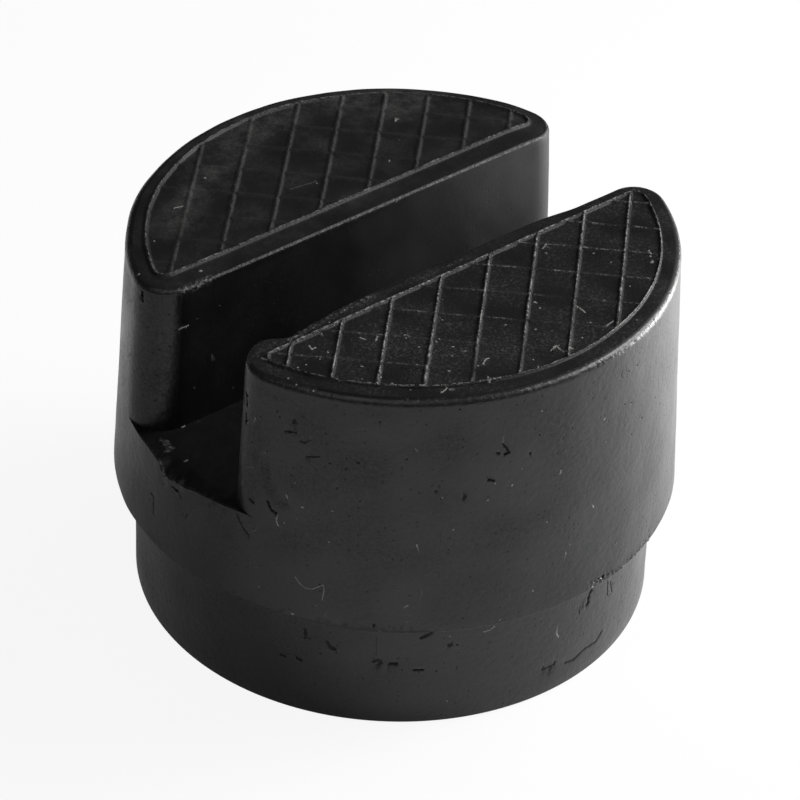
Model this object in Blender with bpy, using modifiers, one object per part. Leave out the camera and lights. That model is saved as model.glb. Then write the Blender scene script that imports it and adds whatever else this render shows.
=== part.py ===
"""Slotted rubber jack pad, moulded in one piece.

A round block stands on a smaller round spigot that drops into the cup of a trolley jack.
A slot right across the top takes the seam under a car's sill. The two half-moon tops
carry a tread of thin raised ribs, crossing at right angles inside a raised border.

Metres, +Z up. The origin is the middle of the base, and the slot runs along X.
"""

import math

import bmesh
import bpy
from mathutils import Matrix, Vector

MM = 0.001

# Block and spigot
BLOCK_TOP_R = 31.4 * MM
BLOCK_FOOT_R = 32.9 * MM
BLOCK_HEIGHT = 31.0 * MM
SPIGOT_R = 30.4 * MM
SPIGOT_HEIGHT = 15.4 * MM
EDGE_BREAK = 0.4 * MM

# Slot, whose wall at -Y stands back a little towards its +X mouth
SLOT_WIDTH = 12.6 * MM
SLOT_DEPTH = 18.9 * MM
SLOT_SHIFT_Y = -0.1 * MM
WALL_EASE = 0.75 * MM
EASE_LENGTH = 7.0 * MM
EASE_INSET = 11.4 * MM
FAR_CORNER_R = 4.0 * MM
NEAR_LEFT_CORNER_R = 3.9 * MM
NEAR_RIGHT_CORNER_R = 3.4 * MM

# Tread, whose mould plate sat a little off the block's axis
TREAD_PITCH = 5.0 * MM
TREAD_RIM_ARC = 2.3 * MM
TREAD_RIM_SLOT = 2.8 * MM
TREAD_SHIFT_X = 0.2 * MM
TREAD_SHIFT_Y = 0.3 * MM
TREAD_ANGLE = math.radians(45)
BORDER_TIP_R = 1.2 * MM
BORDER_FOOT = 1.0 * MM
BORDER_HEIGHT = 0.45 * MM
RIB_FOOT = 0.85 * MM
RIB_HEIGHT = 0.40 * MM
CROSS_RIB_HEIGHT = 0.28 * MM
RIB_FLANK = math.radians(40)

# Fineness
TURN_STEPS = 96
ARC_STEPS = 6
EASE_STEPS = 6
ROOT = 0.6 * MM
REACH = 6.0 * MM

TOP_Z = SPIGOT_HEIGHT + BLOCK_HEIGHT
FLOOR_Z = TOP_Z - SLOT_DEPTH
EASE_START = BLOCK_TOP_R - EASE_INSET - EASE_LENGTH
TREAD_CENTRE = Vector((TREAD_SHIFT_X, TREAD_SHIFT_Y))
BORDER_R = BLOCK_TOP_R - TREAD_RIM_ARC
BORDER_Y = SLOT_WIDTH / 2 + TREAD_RIM_SLOT


def clear_scene():
    for thing in list(bpy.data.objects):
        bpy.data.objects.remove(thing, do_unlink=True)


def new_collection(name):
    collection = bpy.data.collections.new(name)
    bpy.context.scene.collection.children.link(collection)
    return collection


def block_radius(z):
    """Radius of the block at height z: it widens from the top to the foot."""
    share = (TOP_Z - z) / BLOCK_HEIGHT
    return BLOCK_TOP_R + (BLOCK_FOOT_R - BLOCK_TOP_R) * share


def rubber():
    material = bpy.data.materials.new("moulded_black_rubber")
    material.use_nodes = True
    shader = material.node_tree.nodes["Principled BSDF"]
    shader.inputs["Base Color"].default_value = (0.012, 0.0125, 0.0122, 1.0)
    shader.inputs["Roughness"].default_value = 0.55
    shader.inputs["Metallic"].default_value = 0.0
    return material


def turned_block(collection):
    """The block and its spigot in one turned profile, with broken edges."""
    e = EDGE_BREAK
    outline = [
        (0.0, TOP_Z),
        (BLOCK_TOP_R - e, TOP_Z),
        (block_radius(TOP_Z - e), TOP_Z - e),
        (block_radius(SPIGOT_HEIGHT + e), SPIGOT_HEIGHT + e),
        (BLOCK_FOOT_R - e, SPIGOT_HEIGHT),
        (SPIGOT_R, SPIGOT_HEIGHT),
        (SPIGOT_R, e),
        (SPIGOT_R - e, 0.0),
        (0.0, 0.0),
    ]
    mesh = bpy.data.meshes.new("jack_pad")
    points = [(x, 0.0, z) for x, z in outline]
    mesh.from_pydata(points, [(i, i + 1) for i in range(len(points) - 1)], [])
    pad = bpy.data.objects.new("jack_pad", mesh)
    collection.objects.link(pad)
    turn = pad.modifiers.new("turn", "SCREW")
    turn.axis = "Z"
    turn.angle = math.tau
    turn.steps = TURN_STEPS
    turn.render_steps = TURN_STEPS
    turn.use_merge_vertices = True
    turn.merge_threshold = 0.00001
    return pad


def loft(bm, sections):
    """Adds a closed solid through outlines that share one point count, lowest first."""
    rings = [[bm.verts.new((x, y, z)) for x, y in outline] for z, outline in sections]
    walls = []
    for low, high in zip(rings, rings[1:]):
        for i in range(len(low)):
            j = (i + 1) % len(low)
            walls.append(bm.faces.new((low[i], low[j], high[j], high[i])))
    bm.faces.new(list(reversed(rings[0])))
    bm.faces.new(rings[-1])
    bmesh.ops.triangulate(bm, faces=walls)


def cutter(name, bm, collection):
    """Makes an object that only a Boolean modifier reads."""
    mesh = bpy.data.meshes.new(name)
    bm.to_mesh(mesh)
    bm.free()
    thing = bpy.data.objects.new(name, mesh)
    thing.display_type = "WIRE"
    thing.hide_render = True
    collection.objects.link(thing)
    return thing


def corner_arc(outer, wall, corner):
    """Rounds the +X corner of a half-moon, between its straight side at y = wall and its round one.

    Gives the points of the arc, from the straight side on, and the angle where it meets the circle.
    """
    centre_y = wall + corner
    centre_x = math.sqrt((outer - corner) ** 2 - centre_y ** 2)
    end = math.atan2(centre_y, centre_x)
    points = []
    for i in range(ARC_STEPS + 1):
        a = -math.pi / 2 + (end + math.pi / 2) * i / ARC_STEPS
        points.append((centre_x + corner * math.cos(a), centre_y + corner * math.sin(a)))
    return points, end


def slot_side(z, spread, wall, ease, corner_r):
    """One side of the slot in plan at +Y, from its middle to past its +X mouth.

    ease is how far the wall stands back near the mouth. spread widens the outline, as at the
    broken edge of the top.
    """
    outer = block_radius(z) - spread
    points = []
    if ease:
        for i in range(EASE_STEPS + 1):
            share = i / EASE_STEPS
            back = ease * (1 - math.cos(math.pi * share)) / 2
            points.append((EASE_START + EASE_LENGTH * share, wall + spread + back))
    arc, end = corner_arc(outer, wall + spread + ease, corner_r - spread)
    out = outer + REACH
    return points + arc + [(out * math.cos(end), out * math.sin(end))]


def slot_outline(z, spread):
    half = SLOT_WIDTH / 2
    far = slot_side(z, spread, half + SLOT_SHIFT_Y, 0.0, FAR_CORNER_R)
    near = slot_side(z, spread, half - SLOT_SHIFT_Y, 0.0, NEAR_LEFT_CORNER_R)
    near_eased = slot_side(z, spread, half - SLOT_SHIFT_Y, WALL_EASE, NEAR_RIGHT_CORNER_R)
    outline = [(-x, -y) for x, y in reversed(near)]
    outline += [(x, -y) for x, y in near_eased]
    outline += [(x, y) for x, y in reversed(far)]
    outline += [(-x, y) for x, y in far]
    return outline


def slot_cutter(collection):
    e = EDGE_BREAK
    bm = bmesh.new()
    sections = [(z, slot_outline(z, spread)) for z, spread in (
        (FLOOR_Z, 0.0), (TOP_Z - e, 0.0), (TOP_Z + e, 2 * e))]
    loft(bm, sections)
    return cutter("slot", bm, collection)


def half_moon(grow):
    """The border's line on the +Y half, grown outwards by grow, about the tread's centre."""
    r = BORDER_R + grow
    corner, start = corner_arc(r, BORDER_Y - grow, BORDER_TIP_R + grow)
    steps = TURN_STEPS // 2
    points = list(corner)
    for i in range(1, steps):
        a = start + (math.pi - 2 * start) * i / steps
        points.append((r * math.cos(a), r * math.sin(a)))
    return points + [(-x, y) for x, y in reversed(corner)]


def placed(points, turn):
    """Turns tread points about the tread's centre, and moves them to it."""
    matrix = Matrix.Rotation(turn, 2)
    moved = [matrix @ Vector(p) + TREAD_CENTRE for p in points]
    return [(p.x, p.y) for p in moved]


def flank(height):
    """How far a flank leans in over this height."""
    return height * math.tan(RIB_FLANK)


def border_plates(collection):
    """Two half-moon plates, as large as the outside of the border."""
    bm = bmesh.new()
    foot = BORDER_FOOT / 2
    for turn in (0.0, math.pi):
        loft(bm, [(z, placed(half_moon(grow), turn)) for z, grow in (
            (TOP_Z - ROOT, foot),
            (TOP_Z, foot),
            (TOP_Z + BORDER_HEIGHT, foot - flank(BORDER_HEIGHT)))])
    return cutter("border_plates", bm, collection)


def border_wells(collection):
    """What is cut from the plates, so that only the border is left above the top."""
    bm = bmesh.new()
    foot = BORDER_FOOT / 2
    above = TOP_Z + 2 * BORDER_HEIGHT
    for turn in (0.0, math.pi):
        loft(bm, [(z, placed(half_moon(grow), turn)) for z, grow in (
            (TOP_Z, -foot),
            (above, -foot + flank(above - TOP_Z)))])
    return cutter("border_wells", bm, collection)


def rib_outline(start, end, width):
    along = (end - start).normalized()
    across = Vector((-along.y, along.x)) * width / 2
    return [tuple(p) for p in (start - across, end - across, end + across, start + across)]


def ribs(collection, name, angle, height):
    """One family of parallel ribs, each from the slot side of the border to its arc."""
    bm = bmesh.new()
    along = Vector((math.cos(angle), math.sin(angle)))
    across = Vector((-along.y, along.x))
    count = int(BORDER_R / TREAD_PITCH)
    top_width = RIB_FOOT - 2 * flank(height)
    for turn in (0.0, math.pi):
        for n in range(-count, count + 1):
            offset = n * TREAD_PITCH
            chord = math.sqrt(BORDER_R ** 2 - offset ** 2)
            at_slot = (BORDER_Y - across.y * offset) / along.y
            if at_slot > chord - TREAD_PITCH / 2:
                continue
            start = across * offset + along * max(at_slot, -chord)
            end = across * offset + along * chord
            loft(bm, [(z, placed(rib_outline(start, end, width), turn)) for z, width in (
                (TOP_Z - ROOT, RIB_FOOT), (TOP_Z, RIB_FOOT), (TOP_Z + height, top_width))])
    return cutter(name, bm, collection)


def join(pad, tool, operation):
    step = pad.modifiers.new(tool.name, "BOOLEAN")
    step.operation = operation
    step.object = tool
    step.solver = "EXACT"


def finish(pad):
    """Makes the modifiers' result the pad's own mesh, shaded smooth between its edges."""
    depsgraph = bpy.context.evaluated_depsgraph_get()
    mesh = bpy.data.meshes.new_from_object(pad.evaluated_get(depsgraph))
    pad.modifiers.clear()
    pad.data = mesh
    mesh.shade_smooth()
    mesh.set_sharp_from_angle(angle=math.radians(30))


def main():
    clear_scene()
    parts = new_collection("rubber_jack_pad")
    tools = new_collection("cutters")
    pad = turned_block(parts)
    pad.data.materials.append(rubber())
    join(pad, slot_cutter(tools), "DIFFERENCE")
    join(pad, border_plates(tools), "UNION")
    join(pad, border_wells(tools), "DIFFERENCE")
    join(pad, ribs(tools, "ribs", TREAD_ANGLE, RIB_HEIGHT), "UNION")
    join(pad, ribs(tools, "cross_ribs", math.pi - TREAD_ANGLE, CROSS_RIB_HEIGHT), "UNION")
    finish(pad)


main()
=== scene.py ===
# %% [markdown]
# A slotted jack pad of black rubber
#
# The pad is one moulding: a round block on a smaller spigot, a slot across the top, and a tread
# of thin raised ribs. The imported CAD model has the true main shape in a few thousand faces.
# Here the same shape is built again with a much finer skin, so that its edges can be rounded,
# its ribs softened, and its dents, tears and chips cut as real shape.

# %% Load the frame
import math

import bmesh
import bpy
import numpy as np
from mathutils import Matrix, Vector, geometry
from mathutils.bvhtree import BVHTree


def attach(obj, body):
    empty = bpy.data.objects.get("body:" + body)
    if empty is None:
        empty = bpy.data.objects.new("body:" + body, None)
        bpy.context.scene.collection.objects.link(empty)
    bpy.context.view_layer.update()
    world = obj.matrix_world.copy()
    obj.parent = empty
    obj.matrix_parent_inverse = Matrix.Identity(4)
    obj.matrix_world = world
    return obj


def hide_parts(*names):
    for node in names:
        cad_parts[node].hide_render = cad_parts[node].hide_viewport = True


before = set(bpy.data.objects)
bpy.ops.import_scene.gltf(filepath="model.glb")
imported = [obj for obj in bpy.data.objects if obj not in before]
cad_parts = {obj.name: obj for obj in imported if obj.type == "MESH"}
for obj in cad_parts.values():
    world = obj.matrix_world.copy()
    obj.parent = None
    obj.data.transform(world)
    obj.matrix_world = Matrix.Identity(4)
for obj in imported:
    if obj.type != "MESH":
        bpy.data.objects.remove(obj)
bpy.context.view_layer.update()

# %% [markdown]
# The sizes of the moulding
#
# These are the driving sizes of the pad in millimetres, the same as in the CAD model apart from
# the softer rounding of the edges. The block widens from its top to its foot, because a moulded
# block needs draft to leave its mould.

# %% Sizes in millimetres
MM = 0.001
TOP_R, FOOT_R, SPIGOT_R = 31.4, 32.9, 30.4
STEP_Z, FLOOR_Z, TOP_Z = 15.4, 27.5, 46.4

# The two halves of the block, as signs of y, and the two ends of the slot, as signs of x
FAR, NEAR = 1, -1
LEFT, RIGHT = -1, 1

# The slot's walls, the rounded corners at its mouths, and how far the near wall stands back
WALL_Y = {FAR: 6.2, NEAR: 6.4}
CORNER_R = {(FAR, LEFT): 4.0, (FAR, RIGHT): 4.0, (NEAR, LEFT): 3.9, (NEAR, RIGHT): 3.4}
EASE = {FAR: 0.0, NEAR: 0.75}
EASE_FROM, EASE_TO = 13.0, 20.0

# The rounding of the top's edges, and the line of the tread's border with its small tips
SLOT_ARRIS, ROUND_ARRIS = 0.42, 0.9
TREAD_CENTRE = np.array((0.2, 0.3))
PITCH, BORDER_R, BORDER_Y, TIP_R = 5.0, 29.1, 9.1, 1.2


def block_r(z):
    """Radius of the block's tapered side at height z."""
    return TOP_R + (FOOT_R - TOP_R) * (TOP_Z - z) / (TOP_Z - STEP_Z)


slot_width = WALL_Y[FAR] + WALL_Y[NEAR]
print("slot", round(slot_width, 1), "mm wide,", round(TOP_Z - FLOOR_Z, 1), "mm deep")

# %% [markdown]
# Seeded noise
#
# Rubber that has been moulded, rubbed and knocked has no perfect surface. One helper gives all
# the unevenness: a sum of waves in random directions, from a fixed seed, so that every run
# makes the same pad.

# %% Ripple
WAVES, WAVE_SPREAD = 24, (0.7, 1.4)


def ripple(points, wavelength, seed):
    """Smooth noise at these points, mostly between -1 and 1."""
    random = np.random.default_rng(seed)
    ways = random.normal(size=(WAVES, points.shape[1]))
    ways /= np.linalg.norm(ways, axis=1)[:, None]
    ways *= (math.tau / wavelength * random.uniform(*WAVE_SPREAD, WAVES))[:, None]
    start = random.uniform(0, math.tau, WAVES)
    return np.cos(points @ ways.T + start).sum(axis=1) / math.sqrt(WAVES)


print("ripple at the origin:", round(float(ripple(np.zeros((1, 3)), 1.0, 1)[0]), 3))

# %% [markdown]
# One half of the block in plan
#
# Each half of the block above the slot's floor is a half-moon: a straight wall along the slot, a
# rounded corner at each mouth, and the block's round side. A function gives a point anywhere on
# this outline, at any height and any inset, so the same columns of points can run over the
# rounded top edge and down the walls.

# %% The outline of a half-moon


def half_outline(side, z, inset, columns):
    """Points round one half, as an array of x and y, from the middle of its round side.

    columns holds pairs of a piece's number and a fraction along it. The pieces are the round
    side towards -X, the -X corner, the slot wall, the +X corner and the rest of the round side.
    """
    outer, wall = block_r(z) - inset, WALL_Y[side] + inset
    corner = {e: CORNER_R[side, e] - inset for e in (LEFT, RIGHT)}
    points = np.zeros((len(columns), 2))
    centre_y = {LEFT: wall + corner[LEFT], RIGHT: wall + corner[RIGHT] + EASE[side]}
    centre_x = {e: math.sqrt((outer - corner[e]) ** 2 - centre_y[e] ** 2) for e in (LEFT, RIGHT)}
    end = {e: math.atan2(centre_y[e], centre_x[e]) for e in (LEFT, RIGHT)}
    for i, (piece, share) in enumerate(columns):
        if piece in (0, 4):
            e = LEFT if piece == 0 else RIGHT
            turn = share if piece == 0 else 1 - share
            a = math.pi / 2 + (end[e] - math.pi / 2) * turn
            x, y = e * outer * math.cos(a), outer * math.sin(a)
        elif piece in (1, 3):
            e = LEFT if piece == 1 else RIGHT
            turn = 1 - share if piece == 1 else share
            a = -math.pi / 2 + (end[e] + math.pi / 2) * turn
            x = e * (centre_x[e] + corner[e] * math.cos(a))
            y = centre_y[e] + corner[e] * math.sin(a)
        else:
            x = -centre_x[LEFT] + (centre_x[LEFT] + centre_x[RIGHT]) * share
            t = min(max((x - EASE_FROM) / (EASE_TO - EASE_FROM), 0.0), 1.0)
            y = wall + EASE[side] * (1 - math.cos(math.pi * t)) / 2
        points[i] = x, side * y
    return points


wall_end = half_outline(NEAR, TOP_Z, 0.0, ((2, 0.0),))[0]
print("the near wall starts at", wall_end.round(2).tolist(), "mm")

# %% Columns round a half
PIECE_LENGTHS = (46.0, 6.6, 54.0, 6.6, 46.0)
SPACING = 0.75


def column_list(spacing):
    """Columns about evenly spaced round a half-moon."""
    columns = []
    for piece, length in enumerate(PIECE_LENGTHS):
        count = max(2, round(length / spacing))
        columns += [(piece, k / count) for k in range(count)]
    return columns


COLUMNS = column_list(SPACING)
print(len(COLUMNS), "columns round each half")

# %% The rounded edge


def rounding(columns):
    """How far each column belongs to the round side, 0 on the slot wall and 1 on the round side."""
    shares = [1.0 if piece in (0, 4) else 1 - share if piece == 1 else share if piece == 3 else 0.0
              for piece, share in columns]
    return np.array(shares)[:, None]


def rounded_row(side, turn, drop=0.0):
    """Points of one half's edge at a turn down its rounding, or drop below its end.

    The edge is rounded more on the round side, which was rubbed most, than along the slot.
    """
    rows = []
    for arris in (SLOT_ARRIS, ROUND_ARRIS):
        z = TOP_Z - arris * (1 - math.cos(turn)) - drop * (TOP_Z - arris - FLOOR_Z)
        plan = half_outline(side, z, arris * (1 - math.sin(turn)), COLUMNS)
        rows.append(np.column_stack((plan, np.full(len(COLUMNS), z))))
    share = rounding(COLUMNS)
    return rows[0] * (1 - share) + rows[1] * share


print("the rounding ends", round(TOP_Z - rounded_row(FAR, math.pi / 2)[0, 2], 2), "mm down")

# %% [markdown]
# The tread
#
# The mould's tread plate made a border and two crossing families of ribs on each half, standing
# 0.2 to 0.4 mm proud. Both are bell-shaped across, because rubbing has rounded them, and those
# of the far half are lower and broader. This step gives only their heights and their places:
# a border line with small round tips, and parallel ribs that run from the slot's side to the arc.

# %% Border and rib profiles
FOOT = {"border": 0.42, "rib": 0.33, "cross": 0.5}
HEIGHT = {"border": 0.32, "rib": 0.34, "cross": 0.19}
SIDE_HEIGHT, SIDE_WIDTH = {FAR: 0.62, NEAR: 1.0}, {FAR: 1.3, NEAR: 1.0}


def bump(distance, name):
    """Bell-shaped cross-section of a rib or the border, at this distance from its middle line."""
    t = np.clip(np.abs(distance) / FOOT[name], 0.0, 1.0)
    return HEIGHT[name] * (1 - t * t) ** 2


def to_tread(points, side):
    """Turns plan points into the tread's own frame, where each half lies at +Y."""
    return (points - TREAD_CENTRE) * side


def from_tread(points, side):
    """Turns points of the tread's own frame into plan points."""
    return np.asarray(points) * side + TREAD_CENTRE


print("the border stands", round(float(bump(np.zeros(1), "border")[0]), 2), "mm high")

# %% Where the border and the ribs lie
FAMILIES = (("rib", math.pi / 4), ("cross", 3 * math.pi / 4))
RIBS_EACH_WAY = 5


def border_distance(q):
    """Signed distance from the border's line, negative inside, in the tread's frame."""
    low, r = BORDER_Y + TIP_R, BORDER_R - TIP_R
    tip = math.sqrt(r * r - low * low)
    x, y = np.abs(q[:, 0]), q[:, 1]
    radius = np.maximum(np.hypot(x, y), 1e-9)
    inside = np.maximum(low - y, radius - r)
    corner = np.hypot(x - tip, y - low)
    outside = np.where(radius > r, np.where(y * r / radius >= low, radius - r, corner), corner)
    outside = np.where((y < low) & (x <= tip), low - y, outside)
    return np.where(inside <= 0, inside, outside) - TIP_R


def rib_offsets(angle):
    """The ways along and across one family of ribs, and each rib's offset from the middle.

    A rib that would be shorter than half a pitch is left out.
    """
    along = np.array((math.cos(angle), math.sin(angle)))
    across = np.array((-along[1], along[0]))
    offsets = []
    for n in range(-RIBS_EACH_WAY, RIBS_EACH_WAY + 1):
        offset = n * PITCH
        at_arc = math.sqrt(BORDER_R ** 2 - offset ** 2)
        at_slot = (BORDER_Y - across[1] * offset) / along[1]
        if at_slot <= at_arc - PITCH / 2:
            offsets.append(offset)
    return along, across, offsets


for name, angle in FAMILIES:
    print(len(rib_offsets(angle)[2]), "ribs of the family", name, "on each half")

# %% [markdown]
# Wear of the tread
#
# The ribs aren't all whole. On the near half a patch at the front has been rubbed almost flat,
# on the far half a patch at the left is blurred, and every rib is a little uneven along its
# length. A few soft patches, each a bell in plan, give this without touching single ribs.

# %% What is left of the ribs
# Each patch has its centre, its reach along x and y, and the share of the ribs that is gone.
WORN_PATCHES = (((-7.5, -24.5), (7.5, 3.6), 0.75), ((7.0, -22.0), (4.0, 4.5), 0.35),
                ((-19.0, 17.0), (4.5, 6.5), 0.6), ((-2.0, 27.0), (9.0, 2.5), 0.35))
RIB_NICKS, RIB_WAVES = 0.18, 0.10


def left_of_rib(points):
    """How much of the ribs is left at these plan points, from 0 to about 1."""
    left = np.ones(len(points))
    for centre, size, share in WORN_PATCHES:
        away = (points - np.array(centre)) / np.array(size)
        left -= share * np.exp(-(away ** 2).sum(axis=1))
    uneven = RIB_NICKS * ripple(points, 1.4, seed=11)
    return left * (1 + uneven + RIB_WAVES * ripple(points, 6.0, seed=12))


print("left of the ribs in the first patch:", left_of_rib(np.array(WORN_PATCHES[0][:1])).round(2))

# %% [markdown]
# Height of the tread
#
# The height at any plan point is the highest of what passes there: the border, a rib, or the
# rubber that partly fills each small closed corner between two ribs and the border. The border
# is narrower along its arc than along the slot. Wear lowers the ribs, and a ripple makes the
# border uneven.

# %% Height of the tread
ARC_SHARE = {FAR: 0.9, NEAR: 0.62}
FILLED, FILL_SLOPE, FILL_MARGIN = 0.06, 0.5, 0.2
BORDER_WAVES = 0.12


def filled_corners(q):
    """Height of the rubber in the closed corners along the slot's side, in the tread's frame."""
    step = PITCH * math.sqrt(2)
    past_cross = (q[:, 0] + BORDER_Y) % step
    corner = (2 * BORDER_Y) % step
    middle, half = (corner + step) / 2, (step - corner) / 2
    depth = half - np.abs(past_cross - middle) - (q[:, 1] - BORDER_Y)
    return FILLED * np.clip(depth / FILL_SLOPE, 0.0, 1.0) * (q[:, 1] > BORDER_Y - FILL_MARGIN)


def tread_height(points, side):
    """How far the tread stands above the flat top at these plan points."""
    q = to_tread(points, side)
    edge = border_distance(q)
    on_arc = np.clip((q[:, 1] - BORDER_Y) / TIP_R, 0.0, 1.0)
    border = bump(edge / (1 + (ARC_SHARE[side] - 1) * on_arc), "border")
    ribs = np.zeros(len(points))
    for name, angle in FAMILIES:
        along, across, offsets = rib_offsets(angle)
        for offset in offsets:
            height = bump((q @ across - offset) / SIDE_WIDTH[side], name)
            ribs = np.where(edge <= 0, np.maximum(ribs, height), ribs)
    ribs = np.maximum(ribs, np.where(edge <= 0, filled_corners(q), 0.0))
    ribs = ribs * left_of_rib(points) * SIDE_HEIGHT[side]
    return np.maximum(border * (1 + BORDER_WAVES * ripple(points, 1.8, seed=13)), ribs)


middle_of_rib = from_tread([(BORDER_Y + PITCH, BORDER_Y + PITCH)], NEAR)
print("a near rib stands", round(float(tread_height(middle_of_rib, NEAR)[0]), 3), "mm high")

# %% [markdown]
# Lines along the ribs
#
# A grid of even squares would blur such thin ribs. Instead, parallel lines are laid along the
# border and along every rib: one on the middle, and a pair at each of a few shares of its half
# width, the last of them just outside its foot, so that the flat ground stays flat.

# %% Lines that the triangulation follows
PROFILE_SHARES = (0.0, 0.3, 0.58, 0.85, 1.2)
TREAD_SPACING = 0.85
TIP_STEPS = 9


def stepped(a, b, spacing):
    """Points from a to b, about this far apart."""
    count = max(1, round(np.linalg.norm(np.subtract(b, a)) / spacing))
    return [tuple(np.add(a, np.subtract(b, a) * k / count)) for k in range(count + 1)]


def border_line(grow):
    """The border's line moved outwards by grow, closed, in the tread's frame."""
    r, low, tip = BORDER_R + grow, BORDER_Y - grow, TIP_R + grow
    cy = low + tip
    cx = math.sqrt((r - tip) ** 2 - cy ** 2)
    end = math.atan2(cy, cx)
    right = [(cx + tip * math.cos(a), cy + tip * math.sin(a))
             for a in np.linspace(-math.pi / 2, end, TIP_STEPS)]
    count = round(r * (math.pi - 2 * end) / TREAD_SPACING)
    arc = [(r * math.cos(a), r * math.sin(a)) for a in np.linspace(end, math.pi - end, count)]
    left = [(-x, y) for x, y in reversed(right)]
    flat = stepped((-cx, low), (cx, low), TREAD_SPACING)
    return right + arc[1:-1] + left + flat[1:-1]


def tread_lines(side):
    """All lines of the tread as lists of plan points."""
    shares = [sign * share for share in PROFILE_SHARES for sign in ((1, -1) if share else (1,))]
    lines = []
    for share in shares:
        loop = border_line(share * FOOT["border"])
        lines.append(loop + loop[:1])
    for name, angle in FAMILIES:
        along, across, offsets = rib_offsets(angle)
        for offset in offsets:
            for share in shares:
                v = offset + share * FOOT[name] * SIDE_WIDTH[side]
                high = math.sqrt(BORDER_R ** 2 - v * v)
                low = max((BORDER_Y - across[1] * v) / along[1], -high)
                ends = across * v + along * low, across * v + along * high
                lines.append(stepped(*ends, TREAD_SPACING))
    return [from_tread(line, side) for line in lines]


print(sum(len(line) for line in tread_lines(FAR)), "points on the far half's lines")

# %% [markdown]
# Filling a flat outline with triangles
#
# Blender's constrained triangulation takes a boundary, the lines to follow and loose points, and
# returns triangles. The loose points lie in a staggered grid, and those too close to the
# boundary are left out, because they would only make slivers.

# %% Points in a plan region
ROW_SHARE = 0.866


def staggered(low, high, spacing):
    """Staggered grid of points in a box. Its rows make nearly even triangles."""
    points = []
    row = 0
    y = low[1]
    while y < high[1]:
        shift = spacing / 2 if row % 2 else 0.0
        points += [(x, y) for x in np.arange(low[0] + shift, high[0], spacing)]
        y += spacing * ROW_SHARE
        row += 1
    return np.array(points)


def inside_loop(points, loop):
    """Which points lie inside a closed loop, by counting crossings."""
    x, y = points[:, 0], points[:, 1]
    hit = np.zeros(len(points), bool)
    for (ax, ay), (bx, by) in zip(loop, np.roll(loop, -1, axis=0)):
        spans = (ay > y) != (by > y)
        with np.errstate(divide="ignore", invalid="ignore"):
            hit ^= spans & (x < (bx - ax) * (y - ay) / (by - ay) + ax)
    return hit


def clear_of(points, loop, gap):
    """Those points that lie inside a loop, further from its points than the gap."""
    points = points[inside_loop(points, loop)]
    nearest = np.min(np.hypot(*(points[:, None] - loop[None]).transpose(2, 0, 1)), axis=1)
    return points[nearest > gap]


test_square = np.array(((0.0, 0.0), (2.0, 0.0), (2.0, 2.0), (0.0, 2.0)))
test_points = staggered((0.0, 0.0), (2.0, 2.0), 0.5)
print(len(clear_of(test_points, test_square, 0.3)), "of", len(test_points), "loose points are kept")

# %% Triangulate a plan region
SAME_POINT, SMALLEST_AREA = 1e-4, 1e-6


def fill(loop, lines, loose):
    """Triangulates inside loop. Gives plan points and triangles."""
    verts = [tuple(p) for p in loop]
    edges = [(i, (i + 1) % len(loop)) for i in range(len(loop))]
    for line in lines:
        first = len(verts)
        verts += [tuple(p) for p in line]
        edges += [(first + k, first + k + 1) for k in range(len(line) - 1)]
    verts += [tuple(p) for p in loose]
    out = geometry.delaunay_2d_cdt([Vector(v) for v in verts], edges, [], 0, SAME_POINT, False)
    points, faces = np.array([tuple(v) for v in out[0]]), np.array([tuple(f) for f in out[2]])
    a, b, c = points[faces].transpose(1, 0, 2)
    area = np.abs(np.cross(b - a, c - a)) / 2
    kept = inside_loop((a + b + c) / 3, loop) & (area > SMALLEST_AREA)
    return points, faces[kept].tolist()


print("a square is filled with", len(fill(test_square, [], [(1.0, 1.0)])[1]), "triangles")

# %% [markdown]
# The flat top of each half
#
# The boundary is the inner end of the rounded edge, the lines are those of the tread, and the
# loose points fill the flat ground between the ribs. Every point then rises by the height of the
# tread at its place.

# %% Tops with their tread
TOP_REACH, SLOT_SIDE = 32, 5
EDGE_GAP = 0.4


def top_patch(side):
    """The flat top of one half with its tread, as 3-D points and triangles."""
    loop = rounded_row(side, 0.0)[:, :2]
    low, high = sorted((side * SLOT_SIDE, side * TOP_REACH))
    loose = staggered((-TOP_REACH, low), (TOP_REACH, high), TREAD_SPACING)
    loose = clear_of(loose, loop, EDGE_GAP)
    loose = loose[tread_height(loose, side) <= 0]
    points, faces = fill(loop, tread_lines(side), loose)
    z = TOP_Z + tread_height(points, side)
    return np.column_stack((points, z)), faces


tops = {side: top_patch(side) for side in (FAR, NEAR)}
print("tops:", [len(faces) for points, faces in tops.values()], "triangles")

# %% [markdown]
# Walls as rows of columns
#
# Most of the rest is sheets of rows: over the rounded top edge, down each half's walls to the
# level of the slot's floor, and from there down the full round, past the step and the spigot to
# the base. A small helper joins neighbouring rows with quads.

# %% Rows joined into sheets
ARRIS_ROWS, WALL_ROWS = 7, 18


def sheet(rows):
    """Joins rows of points, each a closed ring, into quads."""
    points = np.concatenate(rows)
    width = len(rows[0])
    faces = []
    for r in range(len(rows) - 1):
        a = r * width
        for i in range(width):
            j = (i + 1) % width
            faces.append((a + i, a + j, a + width + j, a + width + i))
    return points, faces


def half_walls(side):
    """The rounded top edge and the walls of one half, down to the slot's floor."""
    rows = [rounded_row(side, turn) for turn in np.linspace(0, math.pi / 2, ARRIS_ROWS)]
    rows += [rounded_row(side, math.pi / 2, k / WALL_ROWS) for k in range(1, WALL_ROWS + 1)]
    return sheet(rows)


walls = {side: half_walls(side) for side in (FAR, NEAR)}
print("walls:", [len(faces) for points, faces in walls.values()], "quads")

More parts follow.
